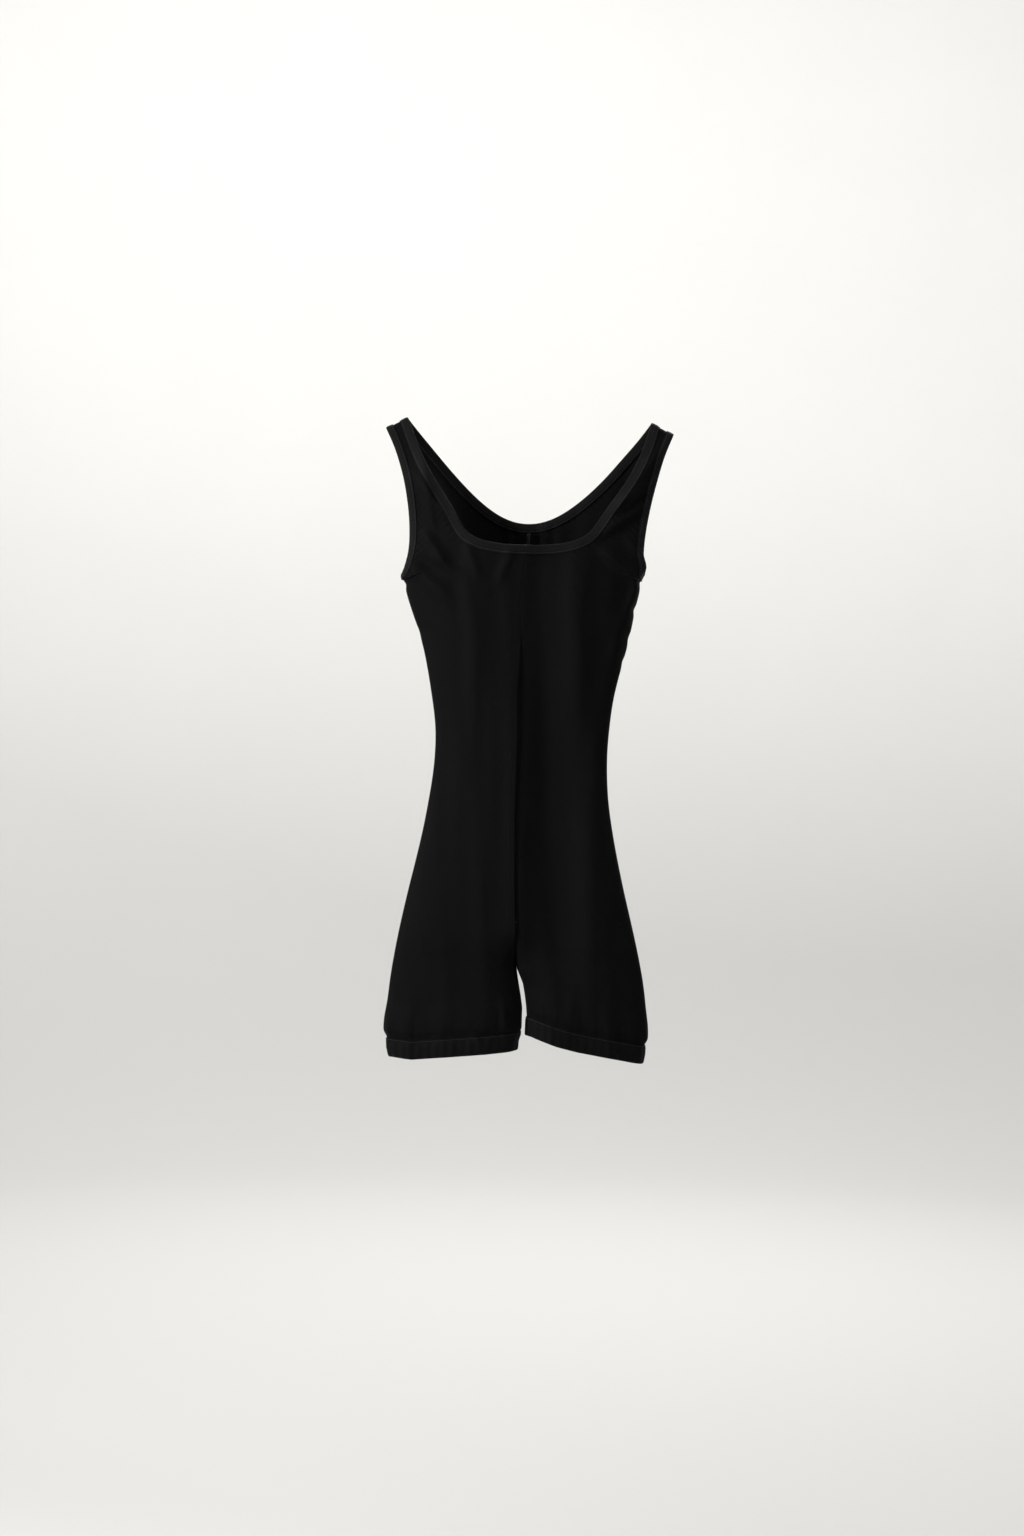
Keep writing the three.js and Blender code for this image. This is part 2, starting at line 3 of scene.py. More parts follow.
import bpy
import numpy as np
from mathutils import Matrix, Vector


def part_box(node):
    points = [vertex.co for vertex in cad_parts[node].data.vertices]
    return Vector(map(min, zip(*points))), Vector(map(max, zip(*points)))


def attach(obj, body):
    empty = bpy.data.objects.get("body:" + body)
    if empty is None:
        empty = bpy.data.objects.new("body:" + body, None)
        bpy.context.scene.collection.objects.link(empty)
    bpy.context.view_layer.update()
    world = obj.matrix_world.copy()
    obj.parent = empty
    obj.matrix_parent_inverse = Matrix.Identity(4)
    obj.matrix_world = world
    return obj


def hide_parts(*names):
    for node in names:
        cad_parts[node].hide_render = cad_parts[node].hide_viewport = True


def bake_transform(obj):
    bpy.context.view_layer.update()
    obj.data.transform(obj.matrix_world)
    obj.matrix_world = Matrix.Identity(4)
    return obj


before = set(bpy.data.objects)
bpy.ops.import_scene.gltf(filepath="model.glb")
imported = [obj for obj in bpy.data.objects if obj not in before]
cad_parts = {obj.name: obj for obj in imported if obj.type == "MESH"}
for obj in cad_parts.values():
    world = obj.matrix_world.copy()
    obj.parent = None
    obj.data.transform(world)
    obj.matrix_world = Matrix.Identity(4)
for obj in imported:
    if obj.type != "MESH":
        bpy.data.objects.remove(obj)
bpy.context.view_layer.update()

# %% [markdown]
# The camera stands nearly three metres in front with a 60 mm lens, level, and rolled by one degree.
# It comes first, so that everything after it can be judged from where the garment is seen.
# %% Camera
ROLL = math.radians(1.05)
DISTANCE = 2.867
lens = bpy.data.cameras.new("camera")
lens.lens = 60
lens.sensor_width = 36
camera = bpy.data.objects.new("camera", lens)
camera.location = (-0.0115, -DISTANCE, -0.383)
camera.rotation_euler = (math.pi / 2, -ROLL, 0)
bpy.context.scene.collection.objects.link(camera)
bpy.context.scene.camera = camera
bpy.context.scene.view_settings.view_transform = "Standard"
print("camera at", tuple(camera.location))

# %% [markdown]
# The cloth was cut in four long quarters. In the CAD each lies on one smooth surface, given by formulas for
# the garment's width and depth at each height. They are written here again, in millimetres, with one change:
# the two halves close more gently above the crotch. Working from formulas rather than by pushing points keeps
# the panels, bindings, elastics and stitches in step, because they all ask the same functions where the cloth is.
# %% Sizes of the garment, millimetres
FABRIC = 0.7
GAP = 0.02
SHOULDER_HALF, STRAP_WIDTH, SLOPE = 148.5, 27.4, math.radians(24)
CHEST_HALF, WAIST_HALF, HEM_HALF = 136.5, 96.5, 147
ARMPIT, WAIST, CROTCH, HEM = -163, -362, -603, -686
CLOSING = 42  # over this height above the crotch the two halves become two legs
FRONT_NECK, BACK_NECK = 135, 107
NECK_BINDING, ARM_BINDING, BAND = 10.5, 8.5, 21
WALL, SLOT = 0.8, 1.8
CLOTH_MIDDLE = -0.45
PROUD = SLOT / 2 + WALL
TOP = 0.9 + CLOTH_MIDDLE + PROUD
BEND = 6.5 + TOP
TUCK_IN, LEAD_OUT = 4, 0.5
GROOVE, STITCH_LINE = 0.42, 1.6  # how deep the stitches pull, and how far from the binding's lower edge
LEGS = {
    -1: {"name": "right", "inner": 676, "outer": 686, "gap": -2},
    1: {"name": "left", "inner": 660, "outer": 684, "gap": 11},
}
FRONT, BACK = -1, 1
MM = 0.001
print("from", TOP, "down to", HEM - BAND, "mm")

# %% [markdown]
# Two small helpers do most of the blending: one eases from 0 to 1 between two values, the other mixes two.
# With them come the formulas of the surface: how wide and how deep a quarter is at each height, and where
# its inner edge lies. The last function turns these into points and the directions that face out of the cloth.
# %% The surface of the cloth
def smooth(value, low, high):
    t = np.clip((value - low) / (high - low), 0, 1)
    return t * t * (3 - 2 * t)


def mix(a, b, t):
    return a + (b - a) * t


def hanger_line(x):
    return TOP - math.tan(SLOPE) * (np.abs(x) - SHOULDER_HALF)


def below_hanger(x, z):
    return (hanger_line(x) - z) * math.cos(SLOPE)


def half_width(z):
    up = np.maximum(z - ARMPIT, 0)
    yoke = CHEST_HALF + 0.12 * up + 75 * (up / 163) ** 3
    t = np.clip((z - ARMPIT) / (WAIST - ARMPIT), 0, 1)
    chest = mix(CHEST_HALF, WAIST_HALF, 1.2 * t + 0.6 * t**2 - 0.8 * t**3)
    hips = mix(WAIST_HALF, HEM_HALF, smooth(-z, 362, 686)) - 3 * smooth(-z, 677, 686)
    return np.where(z > ARMPIT, yoke, np.where(z > WAIST, chest, hips))


def closing(z):
    return smooth(-z, -CROTCH - CLOSING, -CROTCH)


def middle_furrow(x, z):
    """How far the front and back sink towards each other along the middle."""
    return 9 * smooth(-z, FRONT_NECK + 40, 543) * (1 - np.minimum(np.abs(x) / 42, 1) ** 2) ** 2 * (1 - closing(z))


def inner_edge(side, z):
    down = np.clip((CROTCH - z) / (CROTCH - HEM), 0, 1)
    return side * GAP / 2 + LEGS[side]["gap"] * down**0.8


def half_depth(side, x, z):
    inner, outer = inner_edge(side, z), side * half_width(z)
    s = np.clip((x - inner) / (outer - inner), 0, 1)
    middle = mix(mix(26, 19, smooth(-z, 163, 362)), 24, smooth(-z, 362, 543))
    depth = middle * np.sqrt(1 - s * s) * (1 + 0.14 * s * s) - middle_furrow(x, z)
    inner_fold = np.sqrt(np.maximum(1 - (1 - np.minimum(s / 0.35, 1)) ** 2, 0))
    full = depth * (1 - closing(z) * (1 - inner_fold))
    below = below_hanger(x, z)
    over = 1 - np.clip(below / BEND, 0, 1)
    return mix(BEND, full, smooth(below, 0, 100)) * np.sqrt(np.maximum(1 - over * over, 0))


def cloth_at(side, face, x, z):
    """Points on the cloth's outer face and the outward normals there, for arrays of x and z."""
    probe = 0.05
    x, z = np.broadcast_arrays(np.asarray(x, float), np.asarray(z, float))
    inner, outer = inner_edge(side, z), side * half_width(z)
    least, most = np.minimum(inner, outer), np.maximum(inner, outer)
    at = np.clip(x, least, most)
    left, right = np.maximum(at - probe, least), np.minimum(at + probe, most)
    slope_x = (half_depth(side, right, z) - half_depth(side, left, z)) / (right - left)
    depth = half_depth(side, at, z)
    slope_z = (depth - half_depth(side, at, z - probe)) / probe
    points = np.stack([at, face * np.maximum(depth, GAP / 2), z], -1)
    normals = np.stack([-slope_x, np.full_like(at, face), -slope_z], -1)
    return points, normals / np.linalg.norm(normals, axis=-1, keepdims=True)


print("half widths", half_width(np.array([-100.0, -163.0, -362.0, -600.0])).round(1))

# %% [markdown]
# Cloth that hangs is never quite even. The whole garment sways a few millimetres to one side on its way
# down, and creases run over it. All of this is written once, as a shift of any point by where it is, and every
# piece is passed through that shift when it is finished, so nothing comes apart or pokes through.
# The sway comes first: a table of how far the cloth stands aside at each height, smoothed along its length.
# %% Sway
SWAY = np.array([
    [-740, -2.7], [-640, -1.5], [-600, -2.5], [-560, -3.5], [-520, -4.2], [-480, -4], [-420, -3.5],
    [-380, -2], [-340, -0.7], [-300, -1], [-250, 0.5], [-225, -0.7], [-205, -2.7], [-185, -3.7],
    [-165, -2.5], [-140, 0], [-100, 2], [-60, 3.2], [-20, 2.5], [10, 1], [40, 1],
])  # fmt: skip
heights = np.arange(-780.0, 80.0)
soften = np.hanning(41) / np.hanning(41).sum()
sway_at = np.convolve(np.interp(heights, SWAY[:, 0], SWAY[:, 1]), soften, "same")
print("sway at the hips", round(float(np.interp(-520, heights, sway_at)), 2), "mm")

# %% [markdown]
# A crease is a low ridge along a straight line, steeper on one side than on the other, that fades out at both
# ends. A sculpt brush could draw them too, but written as numbers they can be moved and weighed one by one.
# Most start at the neck and the armholes, where the weight of the cloth pulls, and a few are gathers at the hems.
# %% Creases
# Each crease runs from one point (x, z) to another: height, width on its left and on its right.
FRONT_CREASES = [
    ((-64, -130), (-48, -330), 4.4, 12, 22),
    ((64, -132), (62, -330), 4.0, 22, 13),
    ((-66, -137), (-50, -170), 2.4, 5, 6),
    ((-16, -140), (-26, -176), 2.4, 6, 6),
    ((-122, -36), (-106, -112), 3.2, 7, 5),
    ((-128, -60), (-88, -108), 5.5, 6, 7),
    ((-114, -126), (-90, -154), 5.5, 5, 7),
    ((-124, -138), (-74, -168), 3.4, 5, 7),
    ((-134, -152), (-84, -196), 4.0, 7, 9),
    ((-88, -60), (-74, -118), 2.6, 6, 7),
    ((94, -102), (146, -22), 7.0, 8, 7),
    ((92, -94), (140, -62), 4.4, 6, 7),
    ((80, -124), (133, -84), 4.4, 6, 7),
    ((84, -138), (128, -172), 6.0, 6, 7),
    ((112, -128), (136, -150), 3.2, 4, 5),
    ((136, -158), (116, -216), 4.2, 7, 8),
    ((112, -206), (98, -262), 2.0, 7, 9),
    ((-98, -240), (-60, -400), 1.0, 14, 16),
    ((-34, -330), (-42, -560), 1.0, 16, 20),
    ((-78, -400), (-96, -600), 0.8, 18, 20),
    ((86, -420), (98, -620), 1.2, 20, 16),
    ((-20, -642), (-16, -684), 1.8, 3, 4),
    ((-50, -672), (-30, -706), 2.0, 3, 3),
    ((-90, -650), (-84, -690), 1.0, 6, 6),
    ((-118, -640), (-122, -688), 0.8, 5, 7),
    ((60, -640), (52, -682), 1.0, 6, 6),
    ((98, -646), (104, -690), 1.0, 6, 6),
]
BACK_CREASES = [
    ((-13, -112), (-15, -160), 1.6, 4, 5),
    ((9, -112), (12, -165), 1.4, 4, 5),
    ((28, -108), (30, -168), 1.5, 5, 6),
    ((-30, -106), (-28, -170), 1.5, 5, 6),
    ((-44, -96), (-40, -230), 2.0, 12, 14),
    ((50, -96), (44, -240), 2.0, 14, 12),
    ((-112, -50), (-84, -150), 2.2, 8, 8),
    ((112, -50), (84, -150), 2.2, 8, 8),
    ((-128, -168), (-88, -210), 2.0, 7, 9),
    ((128, -168), (88, -210), 2.0, 9, 7),
    ((-70, -220), (-62, -420), 1.2, 15, 15),
    ((66, -220), (60, -420), 1.2, 15, 15),
    ((-54, -470), (-90, -600), 1.6, 14, 16),
    ((54, -470), (92, -600), 1.6, 16, 14),
    ((-30, -560), (-66, -600), 1.6, 9, 11),
    ((32, -560), (66, -600), 1.6, 11, 9),
    ((-70, -645), (-76, -690), 1.0, 6, 6),
    ((74, -640), (80, -690), 1.0, 6, 6),
]


def crease(x, z, start, end, height, left, right):
    dx, dz = end[0] - start[0], end[1] - start[1]
    length = math.hypot(dx, dz)
    along = ((x - start[0]) * dx + (z - start[1]) * dz) / length**2
    across = ((x - start[0]) * -dz + (z - start[1]) * dx) / length
    width = np.where(across < 0, left, right)
    return height * np.exp(-((across / width) ** 2)) * smooth(along, -0.3, 0.3) * smooth(-along, -1.3, -0.7)


def drape(x, z, phase):
    """Slack that runs the length of the garment in soft, uneven waves."""
    waves = [(0.5, 58, 410), (0.25, 37, -620), (0.14, 23, 350), (0.3, 90, 140)]
    total = sum(h * np.sin(x / a * 6.28 + z / b * 6.28 + phase * n) for n, (h, a, b) in enumerate(waves, 1))
    return total * smooth(-z, 40, 200)


print(len(FRONT_CREASES), "creases in front,", len(BACK_CREASES), "behind")

# %% [markdown]
# What makes the outline live is smaller still: the centre seam drifts to one side, the side folds are dented,
# the hems hang lower in places, and the right side of the front folds a little way over the left.
# Everything meets in one function, which moves points of the smooth garment to where they come to lie.
# %% Dents, droop and the way it hangs
SEAM_DRIFT = np.array([[-740, 0], [-640, 0], [-601, -1.8], [-450, -5], [-295, -7.5], [-220, -3], [-150, 0]])
# Small dents in the side folds: side, height, depth and half height.
DENTS = [(1, -154, -3.0, 8), (1, -170, 3.6, 9), (1, -204, 1.6, 5), (1, -236, 1.2, 6), (1, -262, 1.0, 5),
         (-1, -179, 1.8, 5), (-1, -232, 0.8, 7), (1, -714, 4.0, 12), (-1, -714, 4.6, 12)]  # fmt: skip
# How much further down the hems hang, by x, and how far the legs' inner sides lie over, by height.
HEM_DROOP = np.array([[-165, 1], [-140, 1.5], [-115, 5], [-60, 3.6], [-10, 2.2], [2, 1], [14, 0.5], [45, 5],
                      [70, 6.6], [130, 7], [155, 6]])  # fmt: skip
INNER_LEAN = {-1: [[-715, 1.5], [-700, 3.2], [-686, 4], [-672, 8.6], [-650, 8], [-620, 3], [-600, 0]],
              1: [[-715, 2], [-690, 3.6], [-650, 4.5], [-620, 4], [-600, 0]]}  # fmt: skip


def hollow(x, z):
    """How far the furrow down the front lies to the left of the middle, where the right side folds over it."""
    deepest = mix(24, 42, smooth(-z, 150, 420))
    reach = np.where(x < deepest, deepest + 3, mix(34, 46, smooth(-z, 150, 420)))
    depth = mix(4, 10, smooth(-z, 140, 420)) * smooth(-z, 112, 150) * smooth(z, -690, -540)
    return middle_furrow(x, z) - depth * (1 - np.minimum(np.abs(x - deepest) / reach, 1) ** 2) ** 2


def hang(points):
    """Where points of the smooth garment come to lie once it hangs."""
    x, y, z = points.T
    front = y < 0
    clear = smooth(np.abs(y), 1, 9)
    deep = smooth(-z, 215, 300) * smooth(z, -603, -560)
    lip = np.where(x < -0.8, np.exp(-(((x + 0.8) / 13) ** 2)), 0) * 1.4
    pit = np.where(x > 0.8, np.exp(-(((x - 0.8) / 10) ** 2)), 0) * -1.2
    step = np.where(np.abs(x) <= 0.8, mix(1.4, -1.2, smooth(x, -0.8, 0.8)), lip + pit) * deep
    front_lift = step + hollow(x, z) + drape(x, z, 1.0) + sum(crease(x, z, *row) for row in FRONT_CREASES)
    back_lift = drape(x, z, 2.3) + sum(crease(x, z, *row) for row in BACK_CREASES)
    lift = np.where(front, front_lift, back_lift) * clear
    # The side of the front that overlaps rolls over the seam.
    roll = 2.2 * deep * np.exp(-(((x + 1.8) / 2.6) ** 2))
    drift = np.interp(z, SEAM_DRIFT[:, 0], SEAM_DRIFT[:, 1]) * np.maximum(1 - (x / 80) ** 2, 0) ** 2
    edge = smooth(np.abs(x) / half_width(z), 0.8, 1)
    bulge = smooth(-z, 640, 668) * smooth(z, -687, -672) * 1.6 * edge * np.sign(x)
    for side, at, depth, half in DENTS:
        bulge = bulge - side * depth * edge * (side * x > 0) * np.exp(-(((z - at) / half) ** 2))
    for side, rows in INNER_LEAN.items():
        lean = np.interp(z, *np.array(rows, float).T) * np.maximum(1 - np.abs(x) / 75, 0) ** 1.5
        bulge = bulge + lean * (side * x > 0)
    droop = np.interp(x, *HEM_DROOP.T) * smooth(-z, 612, 675)
    # The strip at the right armhole ends in a point, and the cloth under the fork hangs a little lower.
    droop = droop + 4.4 * np.exp(-(((z + 165) / 11) ** 2)) * smooth(-x, 110, 135)
    droop = droop + 5 * np.exp(-((x / 24) ** 2)) * np.exp(-(((z + 604) / 26) ** 2))
    # The straps sit lower than the smooth line does, most of all at their outer edges.
    outer = smooth(np.abs(x), 138, 160)
    droop = droop + smooth(z, -40, 0) * np.where(x > 0, 2.2 + 1.6 * outer, 0.8 + 1.2 * outer)
    shift = np.where(front, (roll + drift) * clear, 0) + np.interp(z, heights, sway_at) + bulge
    return np.stack([x + shift, y + np.where(front, -lift, lift), z - droop], -1)


print("the front of the waist moves to", hang(np.array([[0.0, -19.0, WAIST]])).round(1))

# %% [markdown]
# The edges of the yoke are curves on that surface. Along each one a row of stations gives a point, the way
# out of the cloth and the way past the edge, and every trim is a section carried along those stations.
# %% Edges of the yoke
half_strap = STRAP_WIDTH / 2 * math.cos(SLOPE)
strap_in, strap_out = SHOULDER_HALF - half_strap, SHOULDER_HALF + half_strap


def curve(points, t):
    """Points of a Bezier curve through any number of control points."""
    row = [np.asarray(t)[:, None] * 0 + p for p in points]
    while len(row) > 1:
        row = [mix(a, b, np.asarray(t)[:, None]) for a, b in zip(row, row[1:])]
    return row[0]


def neck_curve(face):
    start = (strap_in, hanger_line(strap_in))
    if face == FRONT:
        shares = [(0.926, 0.12), (0.863, 0.784), (0.204, 0.664), (0.927, 1), (0, 1)]
        return start, *((strap_in * across, -FRONT_NECK * down) for across, down in shares)
    return start, (strap_in * 0.47, -BACK_NECK * 0.81), (strap_in * 0.22, -BACK_NECK), (0, -BACK_NECK)


def arm_curve(face):
    scoop = 0.885 if face == FRONT else 0.91
    start = (strap_out, hanger_line(strap_out))
    return start, (strap_out * 0.87, ARMPIT * 0.31), (CHEST_HALF * scoop, ARMPIT * 0.83), (CHEST_HALF, ARMPIT)


BEND_ROWS, YOKE_ROWS = 9, 110


def parameter_below(points, distance):
    low, high = 0.0, 1.0
    for _ in range(40):
        t = (low + high) / 2
        at = curve(points, [t])[0]
        if below_hanger(at[0], at[1]) < distance:
            low = t
        else:
            high = t
    return low


def edge_stations(points, side, face, crowding, inward):
    angles = np.linspace(0, math.pi / 2, BEND_ROWS + 1)
    bend = [0.0] + [parameter_below(points, BEND * (1 - math.cos(a))) for a in angles[1:]]
    share = np.linspace(0, 1, YOKE_ROWS + 1)[1:]
    t = np.concatenate([bend, mix(bend[-1], 1, 1 - (1 - share) ** crowding)])
    at = curve(points, t)
    where, normal = cloth_at(side, face, side * at[:, 0], at[:, 1])
    before, after = np.roll(where, 1, 0), np.roll(where, -1, 0)
    after[-1] = before[-1] * (-1, 1, 1)
    out = np.cross(after - before, normal)
    out /= np.linalg.norm(out, axis=1, keepdims=True)
    out *= np.sign(out @ np.array([-side * inward, 0, 1]))[:, None]
    where[0, 1] = 0
    normal[0] = (side * math.sin(SLOPE), 0, math.cos(SLOPE))
    out[0] = np.array([side * math.cos(SLOPE), 0, -math.sin(SLOPE)]) * -inward
    return where, normal, out


def neck_edge(side, face):
    return edge_stations(neck_curve(face), side, face, 1, 1)


def arm_edge(side, face):
    where, normal, out = edge_stations(arm_curve(face), side, face, 1.7, -1)
    lean = float(half_width(np.array(ARMPIT)) - half_width(np.array(ARMPIT - ARM_BINDING))) / ARM_BINDING
    where[-1] = (side * CHEST_HALF, 0, ARMPIT)
    normal[-1] = np.array([side, 0, -lean]) / math.hypot(1, lean)
    out[-1] = np.array([side * lean, 0, 1]) / math.hypot(1, lean)
    return where, normal, out


def hem_stations(side, face, count):
    """The band's lower edge, from the inseam to the side fold."""
    leg = LEGS[side]
    share = (1 - np.cos(np.pi * np.arange(count + 1) / count)) / 2
    z = -mix(leg["inner"], leg["outer"], share)
    where, normal = cloth_at(side, face, mix(inner_edge(side, z), side * half_width(z), share), z)
    normal[0], normal[-1] = (-side, 0, 0), (side, 0, 0)
    normal[:, 2] = 0
    normal /= np.linalg.norm(normal, axis=1, keepdims=True)
    out = np.tile([0.0, 0.0, -1.0], (count + 1, 1))
    return where + out * BAND, normal, out


print("neck stations", len(neck_edge(1, FRONT)[0]))


# %% [markdown]
# Three helpers turn arrays of points into objects: one makes a mesh in metres from points in millimetres,
# one sweeps a section along stations, and one gives a grid of points the thickness of the cloth.
# %% Making meshes
def signed_volume(points, faces):
    a, b, c, d = (points[faces[:, i]] for i in range(4))
    return float((np.cross(a, b) * c).sum() + (np.cross(a, c) * d).sum())


def make(name, points, faces, uv=None, sharp=50):
    faces = np.asarray(faces)
    if signed_volume(points, faces) < 0:
        faces = faces[:, ::-1]
    mesh = bpy.data.meshes.new(name)
    mesh.from_pydata((hang(points) * MM).tolist(), [], [list(dict.fromkeys(f)) for f in faces.tolist()])
    mesh.update()
    mesh.validate()
    if uv is not None:
        corner = np.empty(len(mesh.loops), int)
        mesh.loops.foreach_get("vertex_index", corner)
        layer = mesh.uv_layers.new(name="cloth")
        layer.data.foreach_set("uv", (uv[corner] * MM).astype(np.float32).ravel())
    mesh.shade_smooth()
    mesh.set_sharp_from_angle(angle=math.radians(sharp))
    piece = bpy.data.objects.new(name, mesh)
    bpy.context.scene.collection.objects.link(piece)
    return piece


def loft(rings, closed=True):
    """Faces through rings of points, closed end to end or with flat ends. Returns points and faces."""
    count, size = rings.shape[:2]
    i, j = np.arange(size), np.arange(count if closed else count - 1)[:, None]
    k, n = (i + 1) % size, (j + 1) % count
    quads = np.stack(np.broadcast_arrays(j * size + i, j * size + k, n * size + k, n * size + i), -1)
    quads = quads.reshape(-1, 4)
    if not closed:
        last = (count - 1) * size
        fans = [[0, m + 1, m, m] for m in range(1, size - 1)]
        fans += [[last, last + m, last + m + 1, last + m + 1] for m in range(1, size - 1)]
        quads = np.vstack([quads, fans])
    return rings.reshape(-1, 3), quads


def lengths(path):
    step = np.linalg.norm(np.diff(path, axis=0), axis=1)
    return np.concatenate([[0], np.cumsum(step)])


def sweep(stations, section):
    """section(distance along) gives (a, b) pairs: past the edge, and out of the cloth's outer face."""
    where, normal, out = stations
    along = lengths(where)
    pairs = np.array([section(d) for d in along])
    rings = where[:, None] + out[:, None] * pairs[..., :1] + normal[:, None] * pairs[..., 1:]
    girth = lengths(pairs[0])
    uv = np.stack(np.broadcast_arrays(girth[None, :], along[:, None]), -1).reshape(-1, 2)
    return *loft(rings), uv


def measured(piece):
    """Area of one face of a closed sheet, square metres."""
    return sum(face.area for face in piece.data.polygons) / 2


square = np.array([(0, 0, 0), (1, 0, 0), (1, 1, 0), (0, 1, 0)], float)
print("a section of 4 points swept past 3 stations gives", len(loft(np.array([square] * 3))[1]), "faces")

# %% [markdown]
# A material is a chain of nodes. Placed by hand each one takes a few clicks; in a script a small class that
# adds a node, fills in its inputs and joins it to the ones before keeps the recipes short enough to read.
# %% A helper for materials
class Nodes:
    """A short way to add and join the nodes of one material."""

    def __init__(self, name):
        self.material = bpy.data.materials.new(name)
        self.material.use_nodes = True
        self.tree = self.material.node_tree
        self.shader = self.tree.nodes["Principled BSDF"]

    def add(self, kind, inputs=(), **settings):
        node = self.tree.nodes.new(kind)
        for key, value in settings.items():
            setattr(node, key, value)
        for key, value in dict(inputs).items():
            if isinstance(value, bpy.types.NodeSocket):
                self.tree.links.new(value, node.inputs[key])
            else:
                node.inputs[key].default_value = value
        return node

    def math(self, operation, a, b=0.0):
        return self.add("ShaderNodeMath", {0: a, 1: b}, operation=operation).outputs[0]

    def blend_colours(self, factor, a, b):
        node = self.add("ShaderNodeMix", {0: factor, 6: a, 7: b}, data_type="RGBA")
        return node.outputs[2]

    def set(self, **values):
        for key, value in values.items():
            socket = self.shader.inputs[key.replace("_", " ")]
            if isinstance(value, bpy.types.NodeSocket):
                self.tree.links.new(value, socket)
            else:
                socket.default_value = value


def grey(value, blue=1.0):
    return (value, value, value * blue, 1)


print("a black with a blue cast", grey(0.002, 1.15))


# %% [markdown]
# Knitted cloth shows as fine columns of loops. The pattern is drawn from each piece's own flat
# coordinates, so it bends with the cloth. It raises and lowers the surface, and it also paints shade into the
# colour: the hollows between the loops are painted darker and their tops lighter. The yarn is black, so
# most of what is seen is a soft sheen at grazing angles, uneven wear and a few bits of lint.
# The body is a fine jersey, the bindings a coarser rib, and the leg bands lie between the two.
# %% Knitted cloth
def knit(name, dark, light, pitch, sheen, rough, lint=0.0, depth=0.00012, rib=1.0, gloss=0.05):
    nodes = Nodes(name)
    flat = nodes.add("ShaderNodeUVMap", uv_map="cloth").outputs[0]
    place = nodes.add("ShaderNodeTexCoord").outputs["Object"]
    parts = nodes.add("ShaderNodeSeparateXYZ", {0: flat})
    across = nodes.math("MULTIPLY", parts.outputs[0], 2 * math.pi / pitch)
    down = nodes.math("MULTIPLY", parts.outputs[1], 2 * math.pi / (pitch * 0.8))
    # Each column of loops is two slanting legs, so the rows step down on both sides of its middle.
    slant = nodes.math("MULTIPLY", nodes.math("COSINE", across), 1.6)
    loops = nodes.math("SINE", nodes.math("ADD", down, slant))
    columns = nodes.math("COSINE", across)
    height = nodes.math("ADD", nodes.math("MULTIPLY", loops, 0.45), nodes.math("MULTIPLY", columns, 0.55 * rib))
    fuzz = nodes.add("ShaderNodeTexNoise", {"Vector": place, "Scale": 900.0, "Detail": 3.0})
    height = nodes.math("ADD", height, nodes.math("MULTIPLY", fuzz.outputs["Fac"], 0.8))
    patches = nodes.add("ShaderNodeTexNoise", {"Vector": place, "Scale": 26.0, "Detail": 5.0, "Roughness": 0.6})
    worn = nodes.add("ShaderNodeMapRange", {"Value": patches.outputs["Fac"], 1: 0.3, 2: 0.7})
    # Painted shade: the colour follows the height of the loops and the random fuzz, darker in the hollows between
    # loops and lighter on their tops. The random wear patches then vary it.
    painted_shade_and_wear = nodes.math("MULTIPLY", nodes.math("ADD", height, 1.6), 0.3)
    painted_shade_and_wear = nodes.math("MULTIPLY", painted_shade_and_wear, nodes.math("ADD", nodes.math("MULTIPLY", worn.outputs[0], 0.6), 0.5))
    colour = nodes.blend_colours(nodes.math("MINIMUM", painted_shade_and_wear, 1.0), dark, light)
    if lint:
        cells = nodes.add("ShaderNodeTexVoronoi", {"Vector": place, "Scale": 34.0, "Randomness": 1.0})
        near = nodes.math("LESS_THAN", cells.outputs["Distance"], 0.021)
        chosen = nodes.add("ShaderNodeSeparateColor", {0: cells.outputs["Color"]})
        picked = nodes.math("GREATER_THAN", chosen.outputs[0], 1 - lint)
        colour = nodes.blend_colours(nodes.math("MULTIPLY", near, picked), colour, grey(0.11))
    bump = nodes.add("ShaderNodeBump", {"Height": height, "Distance": depth, "Strength": 0.8})
    patchy = nodes.math("ADD", nodes.math("MULTIPLY", worn.outputs[0], 0.1), rough - 0.05)
    nodes.set(Base_Color=colour, Roughness=patchy, Normal=bump.outputs[0])
    nodes.set(Sheen_Weight=sheen, Sheen_Roughness=0.4, Specular_IOR_Level=gloss)
    nodes.shader.inputs["Sheen Tint"].default_value = (0.82, 0.86, 1.0, 1)
    return nodes.material


jersey = knit("black_jersey", grey(0.0010, 1.15), grey(0.0034, 1.2), 0.0011, 0.02, 0.6, lint=0.14, gloss=0.04)
rib_knit = knit("rib_binding", grey(0.0018, 1.1), grey(0.006, 1.12), 0.0016, 0.03, 0.6,
                rib=1.6, depth=0.0002, gloss=0.08)  # fmt: skip
band_knit = knit("hem_band", grey(0.0011, 1.12), grey(0.0037, 1.15), 0.0013, 0.025, 0.62, rib=1.3, depth=0.00016)
elastic_knit = knit("covered_elastic", grey(0.006), grey(0.016), 0.0009, 0.03, 0.6, depth=0.0002)
print("cloths", jersey.name, rib_knit.name, band_knit.name, elastic_knit.name)
